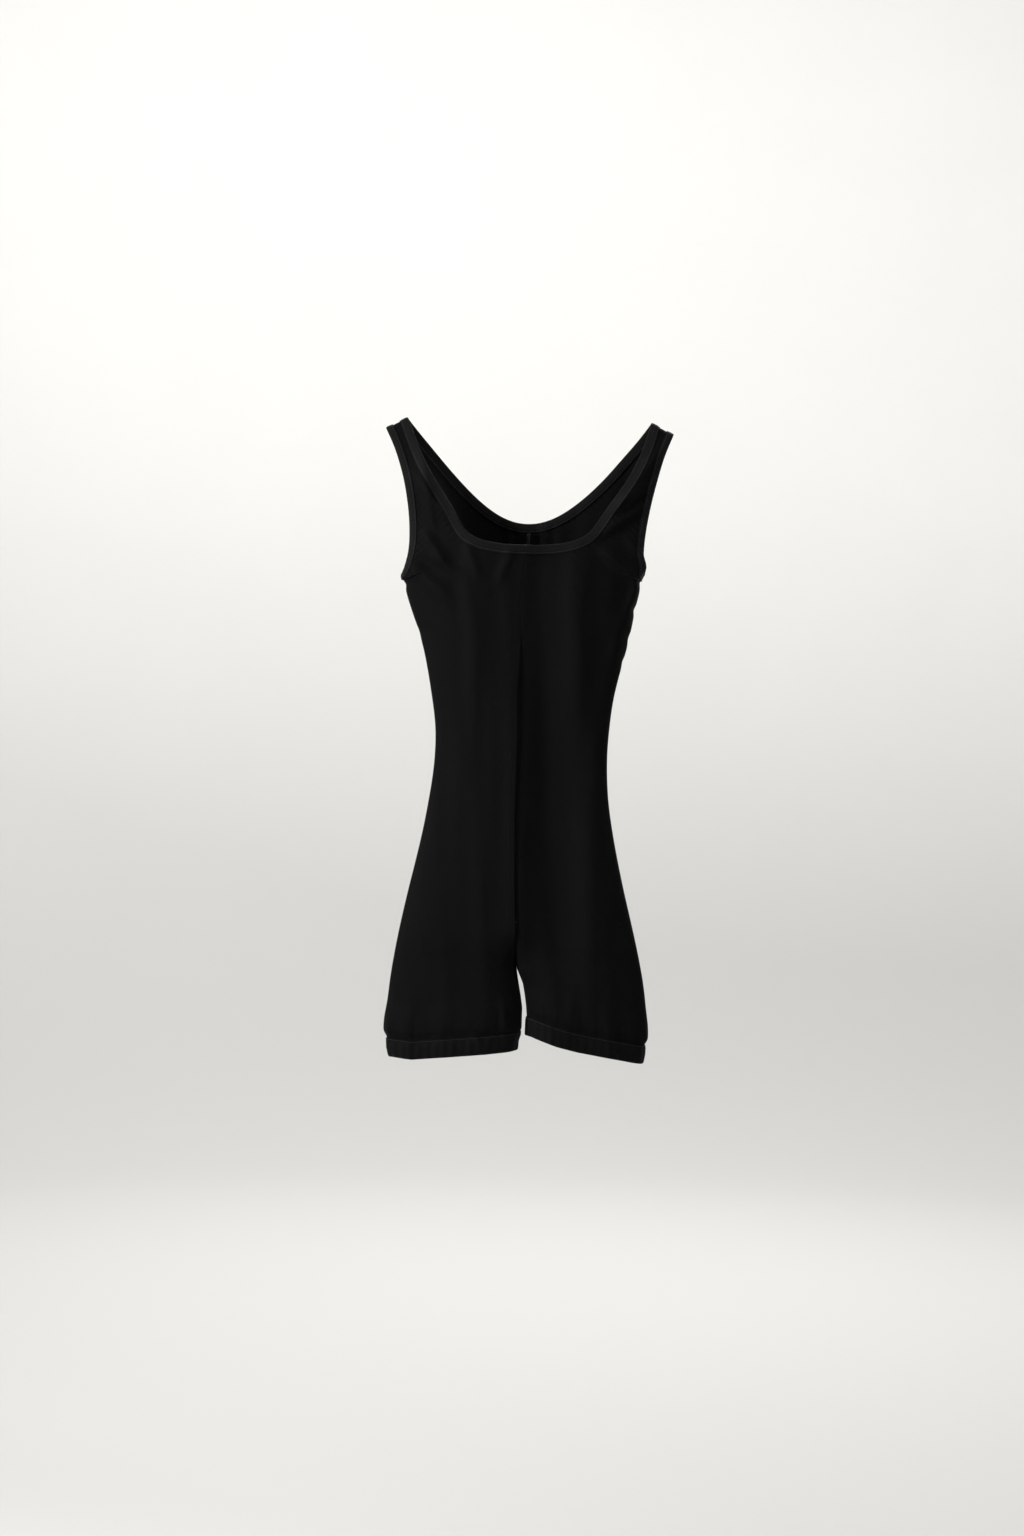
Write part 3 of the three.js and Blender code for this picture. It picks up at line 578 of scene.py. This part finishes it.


# %% [markdown]
# Sewing thread is twisted from a few plies, which show as slanting bands across each stitch. The bands are
# painted shade as well as bump: the grooves between the plies are painted darker and the crests lighter. The
# overlocked edges use a softer, duller thread. Both follow the place in space, because a stitch is too small to
# need its own flat coordinates.
# %% Thread
def twisted(name, dark, light, turns):
    nodes = Nodes(name)
    place = nodes.add("ShaderNodeTexCoord").outputs["Object"]
    parts = nodes.add("ShaderNodeSeparateXYZ", {0: place})
    total = nodes.math("ADD", nodes.math("ADD", parts.outputs[0], parts.outputs[1]), parts.outputs[2])
    plies = nodes.math("SINE", nodes.math("MULTIPLY", total, 2 * math.pi * turns))
    fuzz = nodes.add("ShaderNodeTexNoise", {"Vector": place, "Scale": 700.0, "Detail": 2.0})
    height = nodes.math("ADD", plies, fuzz.outputs["Fac"])
    # Painted shade: the colour follows the height of the plies, with random fuzz, darker in the grooves between them
    # and lighter on their crests.
    level = nodes.add("ShaderNodeMapRange", {"Value": height, 1: -1.0, 2: 2.0})
    bump = nodes.add("ShaderNodeBump", {"Height": height, "Distance": 0.00008, "Strength": 0.7})
    nodes.set(Base_Color=nodes.blend_colours(level.outputs[0], dark, light), Normal=bump.outputs[0])
    nodes.set(Roughness=0.5, Sheen_Weight=0.03, Specular_IOR_Level=0.12)
    return nodes.material


thread = twisted("sewing_thread", grey(0.007, 1.05), grey(0.024, 1.05), 1600)
overlock = twisted("overlock_thread", grey(0.001, 1.1), grey(0.003, 1.1), 900)
print("materials", [m.name for m in bpy.data.materials])

# %% [markdown]
# Each quarter of the garment is one piece of cloth from shoulder to hem. Its grid is built in three parts.
# The yoke's rows follow the neck and the armhole. Where the cloth comes out of a binding it leaves along the
# binding's own direction and settles onto the surface within a few centimetres, with the little puckers that
# stretched elastic draws up.
# %% Rows of the yoke
COLUMNS, BODY_ROWS, CROTCH_ROWS, LEG_ROWS = 66, 196, 14, 40
ALLOWANCE = 1.0  # how far each long edge is turned in at its seam
UNDER = CROTCH + 28  # from here down the rows crowd together, to turn neatly between the legs
spread = (1 - np.cos(np.pi * np.arange(COLUMNS + 1) / COLUMNS)) / 2


def in_slot(stations, width, side, face):
    """Where the cloth is cut inside a binding, and where it comes clear of it."""
    where, normal, out = stations
    places = []
    for distance in (width - TUCK_IN, width - 1, width + LEAD_OUT):
        at = where - out * distance
        at[:, 0] = side * np.maximum(side * at[:, 0], GAP / 2)
        at[:, 1] = face * np.maximum(face * at[:, 1], GAP / 2)
        places.append(at)
    return places


def pucker(distance, along, wave, height, reach):
    return height * np.sin(along * 2 * math.pi / wave) * np.exp(-distance / reach)


def yoke_rows(side, face):
    neck, arm = neck_edge(side, face), arm_edge(side, face)
    neck_in, arm_in = in_slot(neck, NECK_BINDING, side, face), in_slot(arm, ARM_BINDING, side, face)
    start, end = neck_in[2][:, None], arm_in[2][:, None]
    flat = mix(start, end, spread[None, :, None])
    cells, normals = cloth_at(side, face, flat[..., 0], flat[..., 2])
    cells[0, :, 1] = 0
    for clear, column, edge in ((start, 0, neck), (end, -1, arm)):
        # How far the straight way out of the binding is from the surface, faded out across the panel.
        gap = clear[:, 0] - cells[:, column]
        distance = np.linalg.norm(flat - clear, axis=-1)
        cells += gap[:, None] * (1 - smooth(distance, 0, 26))[..., None]
        wave = pucker(distance, lengths(edge[0])[:, None], 7.3, 0.4, 7) * smooth(np.abs(cells[..., 1]), 2, 9)
        wave *= smooth(distance, 0, 2.5)
        cells[..., 1] += face * wave
    rows = np.concatenate([
        np.stack(neck_in[:2], 1), cells, np.stack(arm_in[1::-1], 1)
    ], 1)  # fmt: skip
    return rows


print("yoke grid", yoke_rows(1, FRONT).shape[:2])


# %% [markdown]
# Below the yoke the rows run level, from the centre seam to the side fold on the body and from the inseam to
# the side fold on each leg. The last rows dive into the leg band, which gathers the cloth a little.
# %% Rows of the body and the legs
def centre_top(face):
    return -(FRONT_NECK if face == FRONT else BACK_NECK) - NECK_BINDING - LEAD_OUT


def body_rows(side, face):
    under = mix(UNDER, CROTCH, np.sin(np.arange(1, CROTCH_ROWS + 1) / CROTCH_ROWS * math.pi / 2))
    centre = np.concatenate([np.linspace(centre_top(face), UNDER, BODY_ROWS + 1)[1:], under])
    edge = np.concatenate([np.linspace(ARMPIT - ARM_BINDING - LEAD_OUT, UNDER, BODY_ROWS + 1)[1:], under])
    x_in, x_out = np.zeros_like(centre) + side * GAP / 2, side * half_width(edge)
    x = mix(x_in[:, None], x_out[:, None], spread)
    z = mix(centre[:, None], edge[:, None], spread)
    return cloth_at(side, face, x, z)[0]


def leg_rows(side, face):
    where, normal, out = hem_stations(side, face, COLUMNS)
    clear, under, cut = (where - out * d for d in (BAND + LEAD_OUT, BAND - 1, BAND - TUCK_IN))
    for at in (clear, under, cut):
        at[:, 1] = face * np.maximum(face * at[:, 1], GAP / 2)
    share = np.linspace(0, 1, LEG_ROWS + 1)[1:]
    z = mix(CROTCH, clear[None, :, 2], share[:, None])
    x = mix(inner_edge(side, z), side * half_width(z), spread)
    cells = cloth_at(side, face, x, z)[0]
    cells[-1] = clear
    up = z - clear[None, :, 2]
    along = lengths(where)[None, :]
    gathers = pucker(up, along, 8.7, 0.55, 12) + pucker(up, along, 21, 0.5, 18)
    full = 1.5 * smooth(up, 0, 9) * smooth(-up, -42, -14)
    cells[..., 1] += face * (gathers * smooth(up, 0, 4) + full) * smooth(np.abs(cells[..., 1]), 1, 9)
    return np.concatenate([cells, under[None], cut[None]])


print("body grid", body_rows(1, FRONT).shape[:2], "and leg grid", leg_rows(1, FRONT).shape[:2])


# %% [markdown]
# A grid of points has no thickness. The Solidify modifier would give it one, but its rim is open to folding
# over where the cloth turns sharply into a binding, so the inner face and the cut edges are made here, point
# by point, and each panel is a closed shell.
# %% The thickness of the cloth
def grid_faces(shown):
    """Quads of a grid whose cells may be missing, by the index of each point that is there."""
    index = np.full(shown.shape, -1)
    index[shown] = np.arange(shown.sum())
    quads = np.stack([index[:-1, :-1], index[:-1, 1:], index[1:, 1:], index[1:, :-1]], -1).reshape(-1, 4)
    return quads[(quads >= 0).all(1)]


def thick_sheet(points, quads, thickness, uv):
    """Both faces of the cloth and its cut edges, from the outer face's points."""
    normals = np.zeros_like(points)
    a, b, c, d = (points[quads[:, i]] for i in range(4))
    flat = np.cross(c - a, d - b)
    for i in range(4):
        np.add.at(normals, quads[:, i], flat)
    normals /= np.maximum(np.linalg.norm(normals, axis=1, keepdims=True), 1e-9)
    count = len(points)
    edges = {}
    for i in range(4):
        for edge in zip(quads[:, i].tolist(), quads[:, (i + 1) % 4].tolist()):
            edges[edge] = True
    rim = [[q, p, p + count, q + count] for p, q in edges if (q, p) not in edges]
    inner = points - normals * thickness
    faces = np.vstack([quads, quads[:, ::-1] + count, rim])
    return np.vstack([points, inner]), faces, np.vstack([uv, uv])


print("a square of cloth has", len(thick_sheet(square, np.array([[0, 1, 2, 3]]), 0.1, square[:, :2])[1]), "faces")


# %% [markdown]
# Each panel is made from its rows and stands in for two CAD nodes, one on the body and one on the leg, which are
# hidden. The panel is left where it is made and rides on neither the torso nor the leg.
# %% Panels
def panel(side, face):
    yoke, body, leg = yoke_rows(side, face), body_rows(side, face), leg_rows(side, face)
    lower = np.concatenate([body, leg])
    # Below the yoke each long edge is turned in, where it was sewn to the next panel.
    turned = closing(lower[:, 0, 2])[:, None]
    inward = turned * (side, 0, 0) + (1 - turned) * (0, -face, 0)
    first, last = lower[:, 0] + inward * ALLOWANCE, lower[:, -1] - (side * ALLOWANCE, 0, 0)
    lower = np.concatenate([first[:, None], first[:, None], lower, last[:, None], last[:, None]], 1)
    rows = np.concatenate([yoke, lower])
    shown = np.ones(rows.shape[:2], bool)
    shown[len(yoke):, 0] = shown[len(yoke):, -1] = False
    # Seam lines sit a little below the cloth beside them.
    for column in (2, -3):
        run = np.arange(len(yoke), len(rows))
        depth = 0.12 * np.exp(-((np.linalg.norm(rows[run] - rows[run, column][:, None], axis=-1) / 1.2) ** 2))
        rows[run, :, 1] -= face * depth * smooth(np.abs(rows[run, :, 1]), 0.5, 3)
    points = rows[shown]
    steps = np.linalg.norm(np.diff(rows, axis=1), axis=-1)
    across = np.concatenate([np.zeros((len(rows), 1)), np.cumsum(steps, 1)], 1)
    across += (np.abs(rows[:, 2, 0]) - across[:, 2])[:, None]
    uv = np.stack([across, -rows[..., 2]], -1)[shown]
    quads = grid_faces(shown)
    # Wind the outer face so that its normal points away from the wearer.
    corner, right, down = (points[quads[0, i]] for i in (0, 1, 3))
    if np.cross(right - corner, down - corner)[1] * face < 0:
        quads = quads[:, ::-1]
    return thick_sheet(points, quads, FABRIC, uv)


NODES = {FRONT: "front", BACK: "back"}


def finish(piece, material, nodes, body):
    piece.data.materials.append(material)
    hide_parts(*nodes)
    if isinstance(body, tuple):
        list(body)
        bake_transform(piece)
    else:
        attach(piece, body)
    return piece


panels = {}
for side, leg in LEGS.items():
    for face, end in NODES.items():
        name = leg["name"]
        piece = make(f"{name}_{end}_panel", *panel(side, face))
        nodes = [f"{name}_{end}_body", f"{name}_{end}_leg"]
        panels[side, face] = finish(piece, jersey, nodes, ("torso", f"{name}_leg"))
        print(piece.name, len(piece.data.polygons), "faces", round(measured(piece), 4), "m2")

# %% [markdown]
# Every open edge is bound with a strip folded over it, with flat elastic inside the fold and a line of
# stitches near the strip's lower edge. The strip's section has a soft round fold, a groove where the stitches
# pull it down and a slot for the cloth. A bevelled curve could carry one plain section; sweeping points lets
# it swell and shrink along the way, as stretched elastic makes it do.
# %% Sections of the binding and its elastic
def strip_section(width, plump, ripple, wave):
    outer, inner = PROUD, SLOT / 2
    turn = np.linspace(math.pi / 2, -math.pi / 2, 9)
    fold = [(-outer + outer * math.cos(t), outer * math.sin(t)) for t in turn]
    side_line = [(-width, outer - 0.35), (-width + 0.45, outer), (-width + 1.0, outer - 0.08),
                 (-width + STITCH_LINE, outer - GROOVE), (-width + 2.2, outer - 0.06), (-width + 3.2, outer + plump),
                 (-width * 0.5, outer + plump), (-3.0, outer + plump * 0.6)]  # fmt: skip
    far_line = [(a, -b) for a, b in side_line[::-1]]
    slot = [(-width, -inner), (-WALL, -inner), (-WALL, inner), (-width, inner)]
    pairs = np.array(side_line + fold + far_line + slot)
    movable = np.concatenate([np.ones(len(pairs) - 4), np.zeros(4)])
    away = np.sign(pairs[:, 1])
    inside = smooth(pairs[:, 0] + width, 1.6, 3.2) * movable

    def section(distance):
        swell = ripple * math.sin(distance * 2 * math.pi / wave) + ripple * 0.5 * math.sin(distance / 2.9)
        moved = pairs.copy()
        moved[:, 1] += away * inside * swell + CLOTH_MIDDLE
        return moved

    return section


def elastic_section(width):
    first, last = -width + TUCK_IN + 0.5, -WALL - 0.5
    a = np.linspace(first, last, 13)
    b = 0.3 + 0.1 * np.cos(np.arange(13) * math.pi)
    upper = list(zip(a, b + CLOTH_MIDDLE))
    lower = list(zip(a[::-1], CLOTH_MIDDLE - b[::-1]))
    return lambda distance: np.array(upper + lower)


print("the neck binding's section has", len(strip_section(NECK_BINDING, 0.12, 0.10, 5.2)(0.0)), "points")


# %% [markdown]
# A stitch is a short bar of thread that dips into the cloth at both ends. Each has only a few dozen faces,
# because there are hundreds, and they lie in the groove on both faces of the strip.
# %% Stitches
def stitch_row(stations, width, pitch, length, radius):
    """One small closed bar for each stitch, on both faces of the strip, riding in the groove."""
    where, normal, out = stations
    loop = [np.vstack([v, v[:1]]) for v in stations]
    along = lengths(loop[0])
    count = int(along[-1] / pitch)
    ring = np.array([(math.cos(t), math.sin(t)) for t in np.arange(6) / 6 * 2 * math.pi])
    points, faces = [], []
    proud = PROUD - GROOVE + radius * 0.7
    for reach in (proud, -proud):
        for n in range(count):
            middle = (n + 0.5) * along[-1] / count
            ends = []
            for shift, size in ((-0.5, 0.45), (-0.3, 1), (0.3, 1), (0.5, 0.45)):
                d = middle + shift * length
                at, up, far = (np.array([np.interp(d, along, v[:, i]) for i in range(3)]) for v in loop)
                up, far = up / np.linalg.norm(up), far / np.linalg.norm(far)
                centre = at + far * (-width + STITCH_LINE) + up * (CLOTH_MIDDLE + reach)
                ends.append(centre + radius * size * (ring[:, :1] * far + ring[:, 1:] * up))
            bar, quads = loft(np.array(ends), closed=False)
            if signed_volume(bar, quads) < 0:
                quads = quads[:, ::-1]
            faces.append(quads + len(points) * len(bar))
            points.append(bar)
    return np.vstack(points), np.vstack(faces)


stitch_faces = len(stitch_row(arm_edge(1, FRONT), ARM_BINDING, 2.7, 2.1, 0.3)[1])
print("the stitches along half an armhole have", stitch_faces, "faces")


# %% [markdown]
# A binding has no beginning or end on the garment, so the edges of the quarters are joined into closed loops:
# one round the neck, one round each armhole and one round each leg.
# %% Closed loops
def join_edges(*edges):
    return [np.vstack(parts) for parts in zip(*edges)]


def neck_loop():
    def half(face, side):
        down, up = neck_edge(side, face), neck_edge(-side, face)
        centre = [v[-1:] * (0, 1, 1) for v in down]
        centre[1:] = [v / np.linalg.norm(v) for v in centre[1:]]
        return join_edges([v[:-1] for v in down], centre, [v[::-1][1:-1] for v in up])

    return join_edges(half(FRONT, -1), half(BACK, 1))


def arm_loop(side):
    return join_edges(arm_edge(side, FRONT), [v[::-1][1:-1] for v in arm_edge(side, BACK)])


def hem_loop(side):
    count = 110
    loop = join_edges(hem_stations(side, FRONT, count), [v[::-1][1:-1] for v in hem_stations(side, BACK, count)])
    loop[0][[0, count], 1] = 0
    return loop


print("the neck is", round(lengths(neck_loop()[0])[-1]), "mm round")

# %% [markdown]
# The same three steps make every trim: the strip, the elastic inside it and the stitches that hold it. The
# table gives each one's width, body and cloth, and how much its strip is plumped and rippled.
# %% Bindings, elastics and stitches
EDGES = [
    ("neck", neck_loop(), NECK_BINDING, "torso", rib_knit, 0.12, 0.10, 5.2),
    ("right_armhole", arm_loop(-1), ARM_BINDING, "torso", rib_knit, 0.12, 0.10, 5.2),
    ("left_armhole", arm_loop(1), ARM_BINDING, "torso", rib_knit, 0.12, 0.10, 5.2),
    ("right_hem", hem_loop(-1), BAND, "right_leg", band_knit, 0.15, 0.28, 9.5),
    ("left_hem", hem_loop(1), BAND, "left_leg", band_knit, 0.15, 0.28, 9.5),
]
trims = {}
for name, stations, width, body, material, plump, ripple, wave in EDGES:
    points, faces, uv = sweep(stations, strip_section(width, plump, ripple, wave))
    binding = finish(make(f"{name}_strip", points, faces, uv), material, [f"{name}_binding"], body)
    points, faces, uv = sweep(stations, elastic_section(width))
    elastic = make(f"{name}_flat_elastic", points, faces, uv)
    finish(elastic, elastic_knit, [f"{name}_elastic"], body)
    points, faces = stitch_row(stations, width, 2.7, 2.1, 0.3)
    stitches = make(f"{name}_stitches", points, faces)
    finish(stitches, thread, [f"{name}_stitching"], body)
    trims[name] = (binding, elastic, stitches, width, lengths(stations[0])[-1])
    print(name, "edge", round(trims[name][4]), "mm,", len(stitches.data.polygons), "stitch faces")

# %% [markdown]
# Inside, the cut edges of each seam are wrapped together by an overlocking machine. Each is a slim raised
# strip with a rib for every loop of thread, and it follows the cloth from one end of the seam to the other.
# Every second ring of the strip is a little larger, which gives the ribs without any texture.
# %% The overlocked strip
LOOP_PITCH = 1.3


def resample(path, step):
    along = lengths(path)
    at = np.linspace(0, along[-1], max(int(along[-1] / step), 2) + 1)
    return np.stack([np.interp(at, along, path[:, i]) for i in range(3)], -1)


def seam_strip(path, inward, across, lean=0.0, depth=6.0, start=1.5):
    """An overlocked edge that stands in from the cloth, or leans to one side of its seam."""
    rings = []
    for n, (point, into, over) in enumerate(zip(path, inward, across)):
        half = 0.78 if n % 2 else 0.55
        reach = depth - (0.0 if n % 2 else 0.35)
        way = into * math.cos(lean) + over * math.sin(lean)
        side_way = over * math.cos(lean) - into * math.sin(lean)
        outline = [(start, -half * 0.6), (start + 0.6, -half), (reach, -half), (reach + 0.5, -half * 0.5),
                   (reach + 0.5, half * 0.5), (reach, half), (start + 0.6, half), (start, half * 0.6)]  # fmt: skip
        rings.append([point + way * a + side_way * b for a, b in outline])
    return loft(np.array(rings), closed=False)


print("loops of thread in 100 mm:", round(100 / LOOP_PITCH))


# %% [markdown]
# The side seams and the inseams run down the folds of the cloth. The centre seam is one long seam that goes
# down the front, between the legs and up the back, so its strip is carried along that whole way.
# %% Where the seams run
def side_path(side, top, bottom, share):
    z = np.linspace(top, bottom, 400)
    inner, outer = inner_edge(side, z), side * half_width(z)
    path = resample(np.stack([mix(inner, outer, share), z * 0, z], -1), LOOP_PITCH / 2)
    into = np.tile([-side if share else side, 0.0, 0.0], (len(path), 1))
    return path, into, np.tile([0.0, 1.0, 0.0], (len(path), 1))


def centre_path():
    def half(face):
        under = mix(UNDER, CROTCH, np.sin(np.linspace(0, 1, 40) * math.pi / 2))
        z = np.concatenate([np.linspace(centre_top(face), UNDER, 300), under[1:]])
        return cloth_at(1, face, z * 0, z)[0] * (0, 1, 1)

    front, back = half(FRONT), half(BACK)
    path = resample(np.vstack([front[:-1], [(0, 0, CROTCH)], back[::-1][1:]]), LOOP_PITCH / 2)
    tangent = np.gradient(path, axis=0)
    tangent /= np.linalg.norm(tangent, axis=1, keepdims=True)
    inward = np.cross(tangent, [-1.0, 0, 0])
    inward /= np.linalg.norm(inward, axis=1, keepdims=True)
    # The cloth leaves its binding a little inside the smooth surface.
    along = lengths(path)
    from_end = np.minimum(along, along[-1] - along)
    path = path + inward * (2.2 * (1 - smooth(from_end, 4, 34)))[:, None]
    return path, inward, np.tile([1.0, 0.0, 0.0], (len(path), 1))


print("the centre seam is", round(lengths(centre_path()[0])[-1]), "mm long")


# %% [markdown]
# At each shoulder the front strap is sewn to the back one where it lies over its support. The seam's allowance
# is pressed flat under the strap, between the two bindings, so it is a low arch and not a standing strip.
# %% The shoulder seam
def shoulder_strip(side, half_arc=0.4, half_width_across=2.9):
    low, high = -STRAP_WIDTH / 2 + NECK_BINDING + 0.35, STRAP_WIDTH / 2 - ARM_BINDING - 0.35
    up = np.array([side * math.sin(SLOPE), 0, math.cos(SLOPE)])
    level = np.array([side * math.cos(SLOPE), 0, -math.sin(SLOPE)])
    centre = np.array([side * SHOULDER_HALF, 0, TOP]) - up * BEND
    radius = (BEND - 0.9) - 0.55
    base = radius * math.cos(half_arc) - 0.3
    angles = np.linspace(-half_arc, half_arc, 7)
    rings = []
    for n, shift in enumerate(np.linspace(low, high, 13)):
        plump = 0.0 if n % 2 else 0.12
        arc = [(radius + plump - 0.12) * np.array([math.sin(t), math.cos(t)]) for t in angles]
        section = [*arc, np.array([half_width_across, base]), np.array([-half_width_across, base])]
        rings.append([centre + up * v + level * shift + np.array([0, y, 0]) for y, v in section])
    return loft(np.array(rings), closed=False)


print("a shoulder seam has", len(shoulder_strip(1)[1]), "faces")

# %% [markdown]
# The centre and shoulder seams ride on the torso. The side seams and inseams, like the panels, are left where
# they are made and ride on no body.
# %% Seams
points, faces = seam_strip(*centre_path(), lean=0.5)
finish(make("centre_overlock", points, faces), overlock, ["centre_seam"], "torso")
for side, leg in LEGS.items():
    name = leg["name"]
    path = side_path(side, ARMPIT - ARM_BINDING - LEAD_OUT, -leg["outer"] + 1, 1)
    piece = make(f"{name}_side_overlock", *seam_strip(*path, start=1.6))
    nodes = [f"{name}_side_seam", f"{name}_leg_side_seam"]
    finish(piece, overlock, nodes, ("torso", f"{name}_leg"))
    path = side_path(side, CROTCH - 0.5, -leg["inner"] + 1, 0)
    piece = make(f"{name}_inseam_overlock", *seam_strip(*path, start=1.6))
    finish(piece, overlock, [f"{name}_inseam"], ("torso", f"{name}_leg"))
    piece = make(f"{name}_shoulder_overlock", *shoulder_strip(side))
    finish(piece, overlock, [f"{name}_shoulder_seam"], "torso")

# %% [markdown]
# The care label is a short piece of satin tape with one end caught in the side seam. It stays blank. Satin's
# long floats of yarn are drawn with a very fine brick pattern, and the free end curls a little.
# %% Care label
LABEL_WIDTH, LABEL_HEIGHT = 28, 24
satin = Nodes("satin_tape")
tape = satin.add("ShaderNodeUVMap", uv_map="cloth").outputs[0]
weave = satin.add("ShaderNodeTexBrick", {"Vector": tape, "Scale": 900.0, "Mortar Size": 0.03})
weave.inputs["Color1"].default_value = (0.78, 0.77, 0.74, 1)
weave.inputs["Color2"].default_value = (0.84, 0.83, 0.80, 1)
weave.inputs["Mortar"].default_value = (0.6, 0.59, 0.57, 1)
relief = satin.add("ShaderNodeBump", {"Height": weave.outputs["Fac"], "Distance": 0.00005, "Strength": 0.5})
satin.set(Base_Color=weave.outputs["Color"], Normal=relief.outputs[0], Roughness=0.42, Sheen_Weight=0.2)

low, high = (np.array(corner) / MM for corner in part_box("care_label"))
u = np.linspace(0, 1, 29)
v = np.linspace(0, 1, 13)
across, up = np.meshgrid(u, v)
curl = 1.6 * (1 - across) ** 2 * np.sin(up * 2.4 + 0.4)
sheet_points = np.stack([mix(low[0], high[0], across), curl + 0.1, mix(low[2], high[2], up)], -1)
label_uv = np.stack([across * LABEL_WIDTH, up * LABEL_HEIGHT], -1).reshape(-1, 2)
shown = np.ones(across.shape, bool)
label = make("blank_care_label", *thick_sheet(sheet_points.reshape(-1, 3), grid_faces(shown), 0.3, label_uv))
finish(label, satin.material, ["care_label"], "label")
print(label.name, tuple(round(d * 1000, 1) for d in label.dimensions))

# %% [markdown]
# The size each binding strip was cut to is printed. A panel is one quarter of the garment, a
# binding is a straight strip, twice its finished width and a little more that is turned in.
# %% Flat sizes
TURNED_IN = 3
for (side, face), piece in panels.items():
    name = LEGS[side]["name"]
for name, (binding, elastic, stitches, width, edge) in trims.items():
    cut = ((2 * width + TURNED_IN) * MM, edge * MM)
    print(name, "strip cut", [round(side_length / MM) for side_length in cut], "mm")

# %% [markdown]
# The setting is a pale room with a round floor that curves up into its wall, so there is no corner or
# horizon behind the garment from any side. One section of floor and wall is turned about the middle. Its paper
# is darker at the floor, and much darker in front of the garment, where the light it sends back would wash out
# the shading of the folds.
# %% The room
FLOOR, FLAT_RADIUS, CURVE, WALL_TOP, TURNS = -1.35, 3.2, 1.6, 3.4, 72
profile = [(0, FLOOR), (FLAT_RADIUS, FLOOR)]
for t in np.linspace(0.1, math.pi / 2, 16):
    profile.append((FLAT_RADIUS + CURVE * math.sin(t), FLOOR + CURVE - CURVE * math.cos(t)))
profile.append((FLAT_RADIUS + CURVE, WALL_TOP))
round_angles = np.arange(TURNS) / TURNS * 2 * math.pi
room_points = [(r * math.cos(t), r * math.sin(t), z) for r, z in profile for t in round_angles]
room_faces = [
    (a * TURNS + b, a * TURNS + (b + 1) % TURNS, (a + 1) * TURNS + (b + 1) % TURNS, (a + 1) * TURNS + b)
    for a in range(len(profile) - 1)
    for b in range(TURNS)
]
room_mesh = bpy.data.meshes.new("floor")
room_mesh.from_pydata(room_points, [], room_faces)
room_mesh.shade_smooth()
room = bpy.data.objects.new("floor", room_mesh)
bpy.context.scene.collection.objects.link(room)
pale = Nodes("pale_paper")
paper_place = pale.add("ShaderNodeTexCoord").outputs["Object"]
paper = pale.add("ShaderNodeTexNoise", {"Vector": paper_place, "Scale": 3.0})
rise = pale.add("ShaderNodeSeparateXYZ", {0: paper_place})
level = pale.add("ShaderNodeMapRange", {"Value": rise.outputs[2], 1: FLOOR, 2: 0.6}, interpolation_type="SMOOTHSTEP")
wall = pale.blend_colours(paper.outputs["Fac"], (0.80, 0.795, 0.78, 1), (0.83, 0.825, 0.81, 1))
lit = pale.blend_colours(level.outputs[0], (0.52, 0.517, 0.508, 1), wall)
# The part of the room in front of the garment is the darkest.
ahead = pale.add("ShaderNodeMapRange", {"Value": rise.outputs[1], 1: -2.6, 2: 0.4}, interpolation_type="SMOOTHSTEP")
pale.set(Base_Color=pale.blend_colours(ahead.outputs[0], (0.34, 0.338, 0.333, 1), lit))
pale.set(Roughness=0.95, Specular_IOR_Level=0.1)
room_mesh.materials.append(pale.material)
print("the room is", 2 * profile[-1][0], "m across")

# %% [markdown]
# Black cloth shows its shape only where light grazes it. A small, strong lamp on the left, level with the
# straps, rakes across the front and draws each fold. A broader and weaker one on the right keeps the shadows
# open, one behind and above rims the edges, and the last lights the wall. The camera doesn't see the lamps.
# %% Lights
world = bpy.data.worlds.new("soft_white")
world.use_nodes = True
world.node_tree.nodes["Background"].inputs[0].default_value = (1.0, 0.998, 0.985, 1)
world.node_tree.nodes["Background"].inputs[1].default_value = 0.5
bpy.context.scene.world = world


def lamp(name, place, target, size, power):
    data = bpy.data.lights.new(name, "AREA")
    data.shape = "SQUARE"
    data.size = size
    data.energy = power
    data.color = (1.0, 0.998, 0.985)
    light = bpy.data.objects.new(name, data)
    light.location = place
    way = np.array(target) - np.array(place)
    light.rotation_euler = (
        math.atan2(math.hypot(way[0], way[1]), -way[2]), 0, math.atan2(-way[0], way[1])
    )  # fmt: skip
    light.visible_camera = False
    bpy.context.scene.collection.objects.link(light)


lamp("key", (-1.7, -1.0, 0.15), (0, 0, -0.42), 0.45, 60)
lamp("fill", (1.9, -1.4, 1.3), (0, 0, -0.35), 0.9, 26)
lamp("back", (0.6, 2.6, 1.5), (0, 0, -0.3), 1.6, 60)
lamp("wall", (-0.4, 2.0, 1.9), (0, 4.8, -0.7), 2.4, 74)
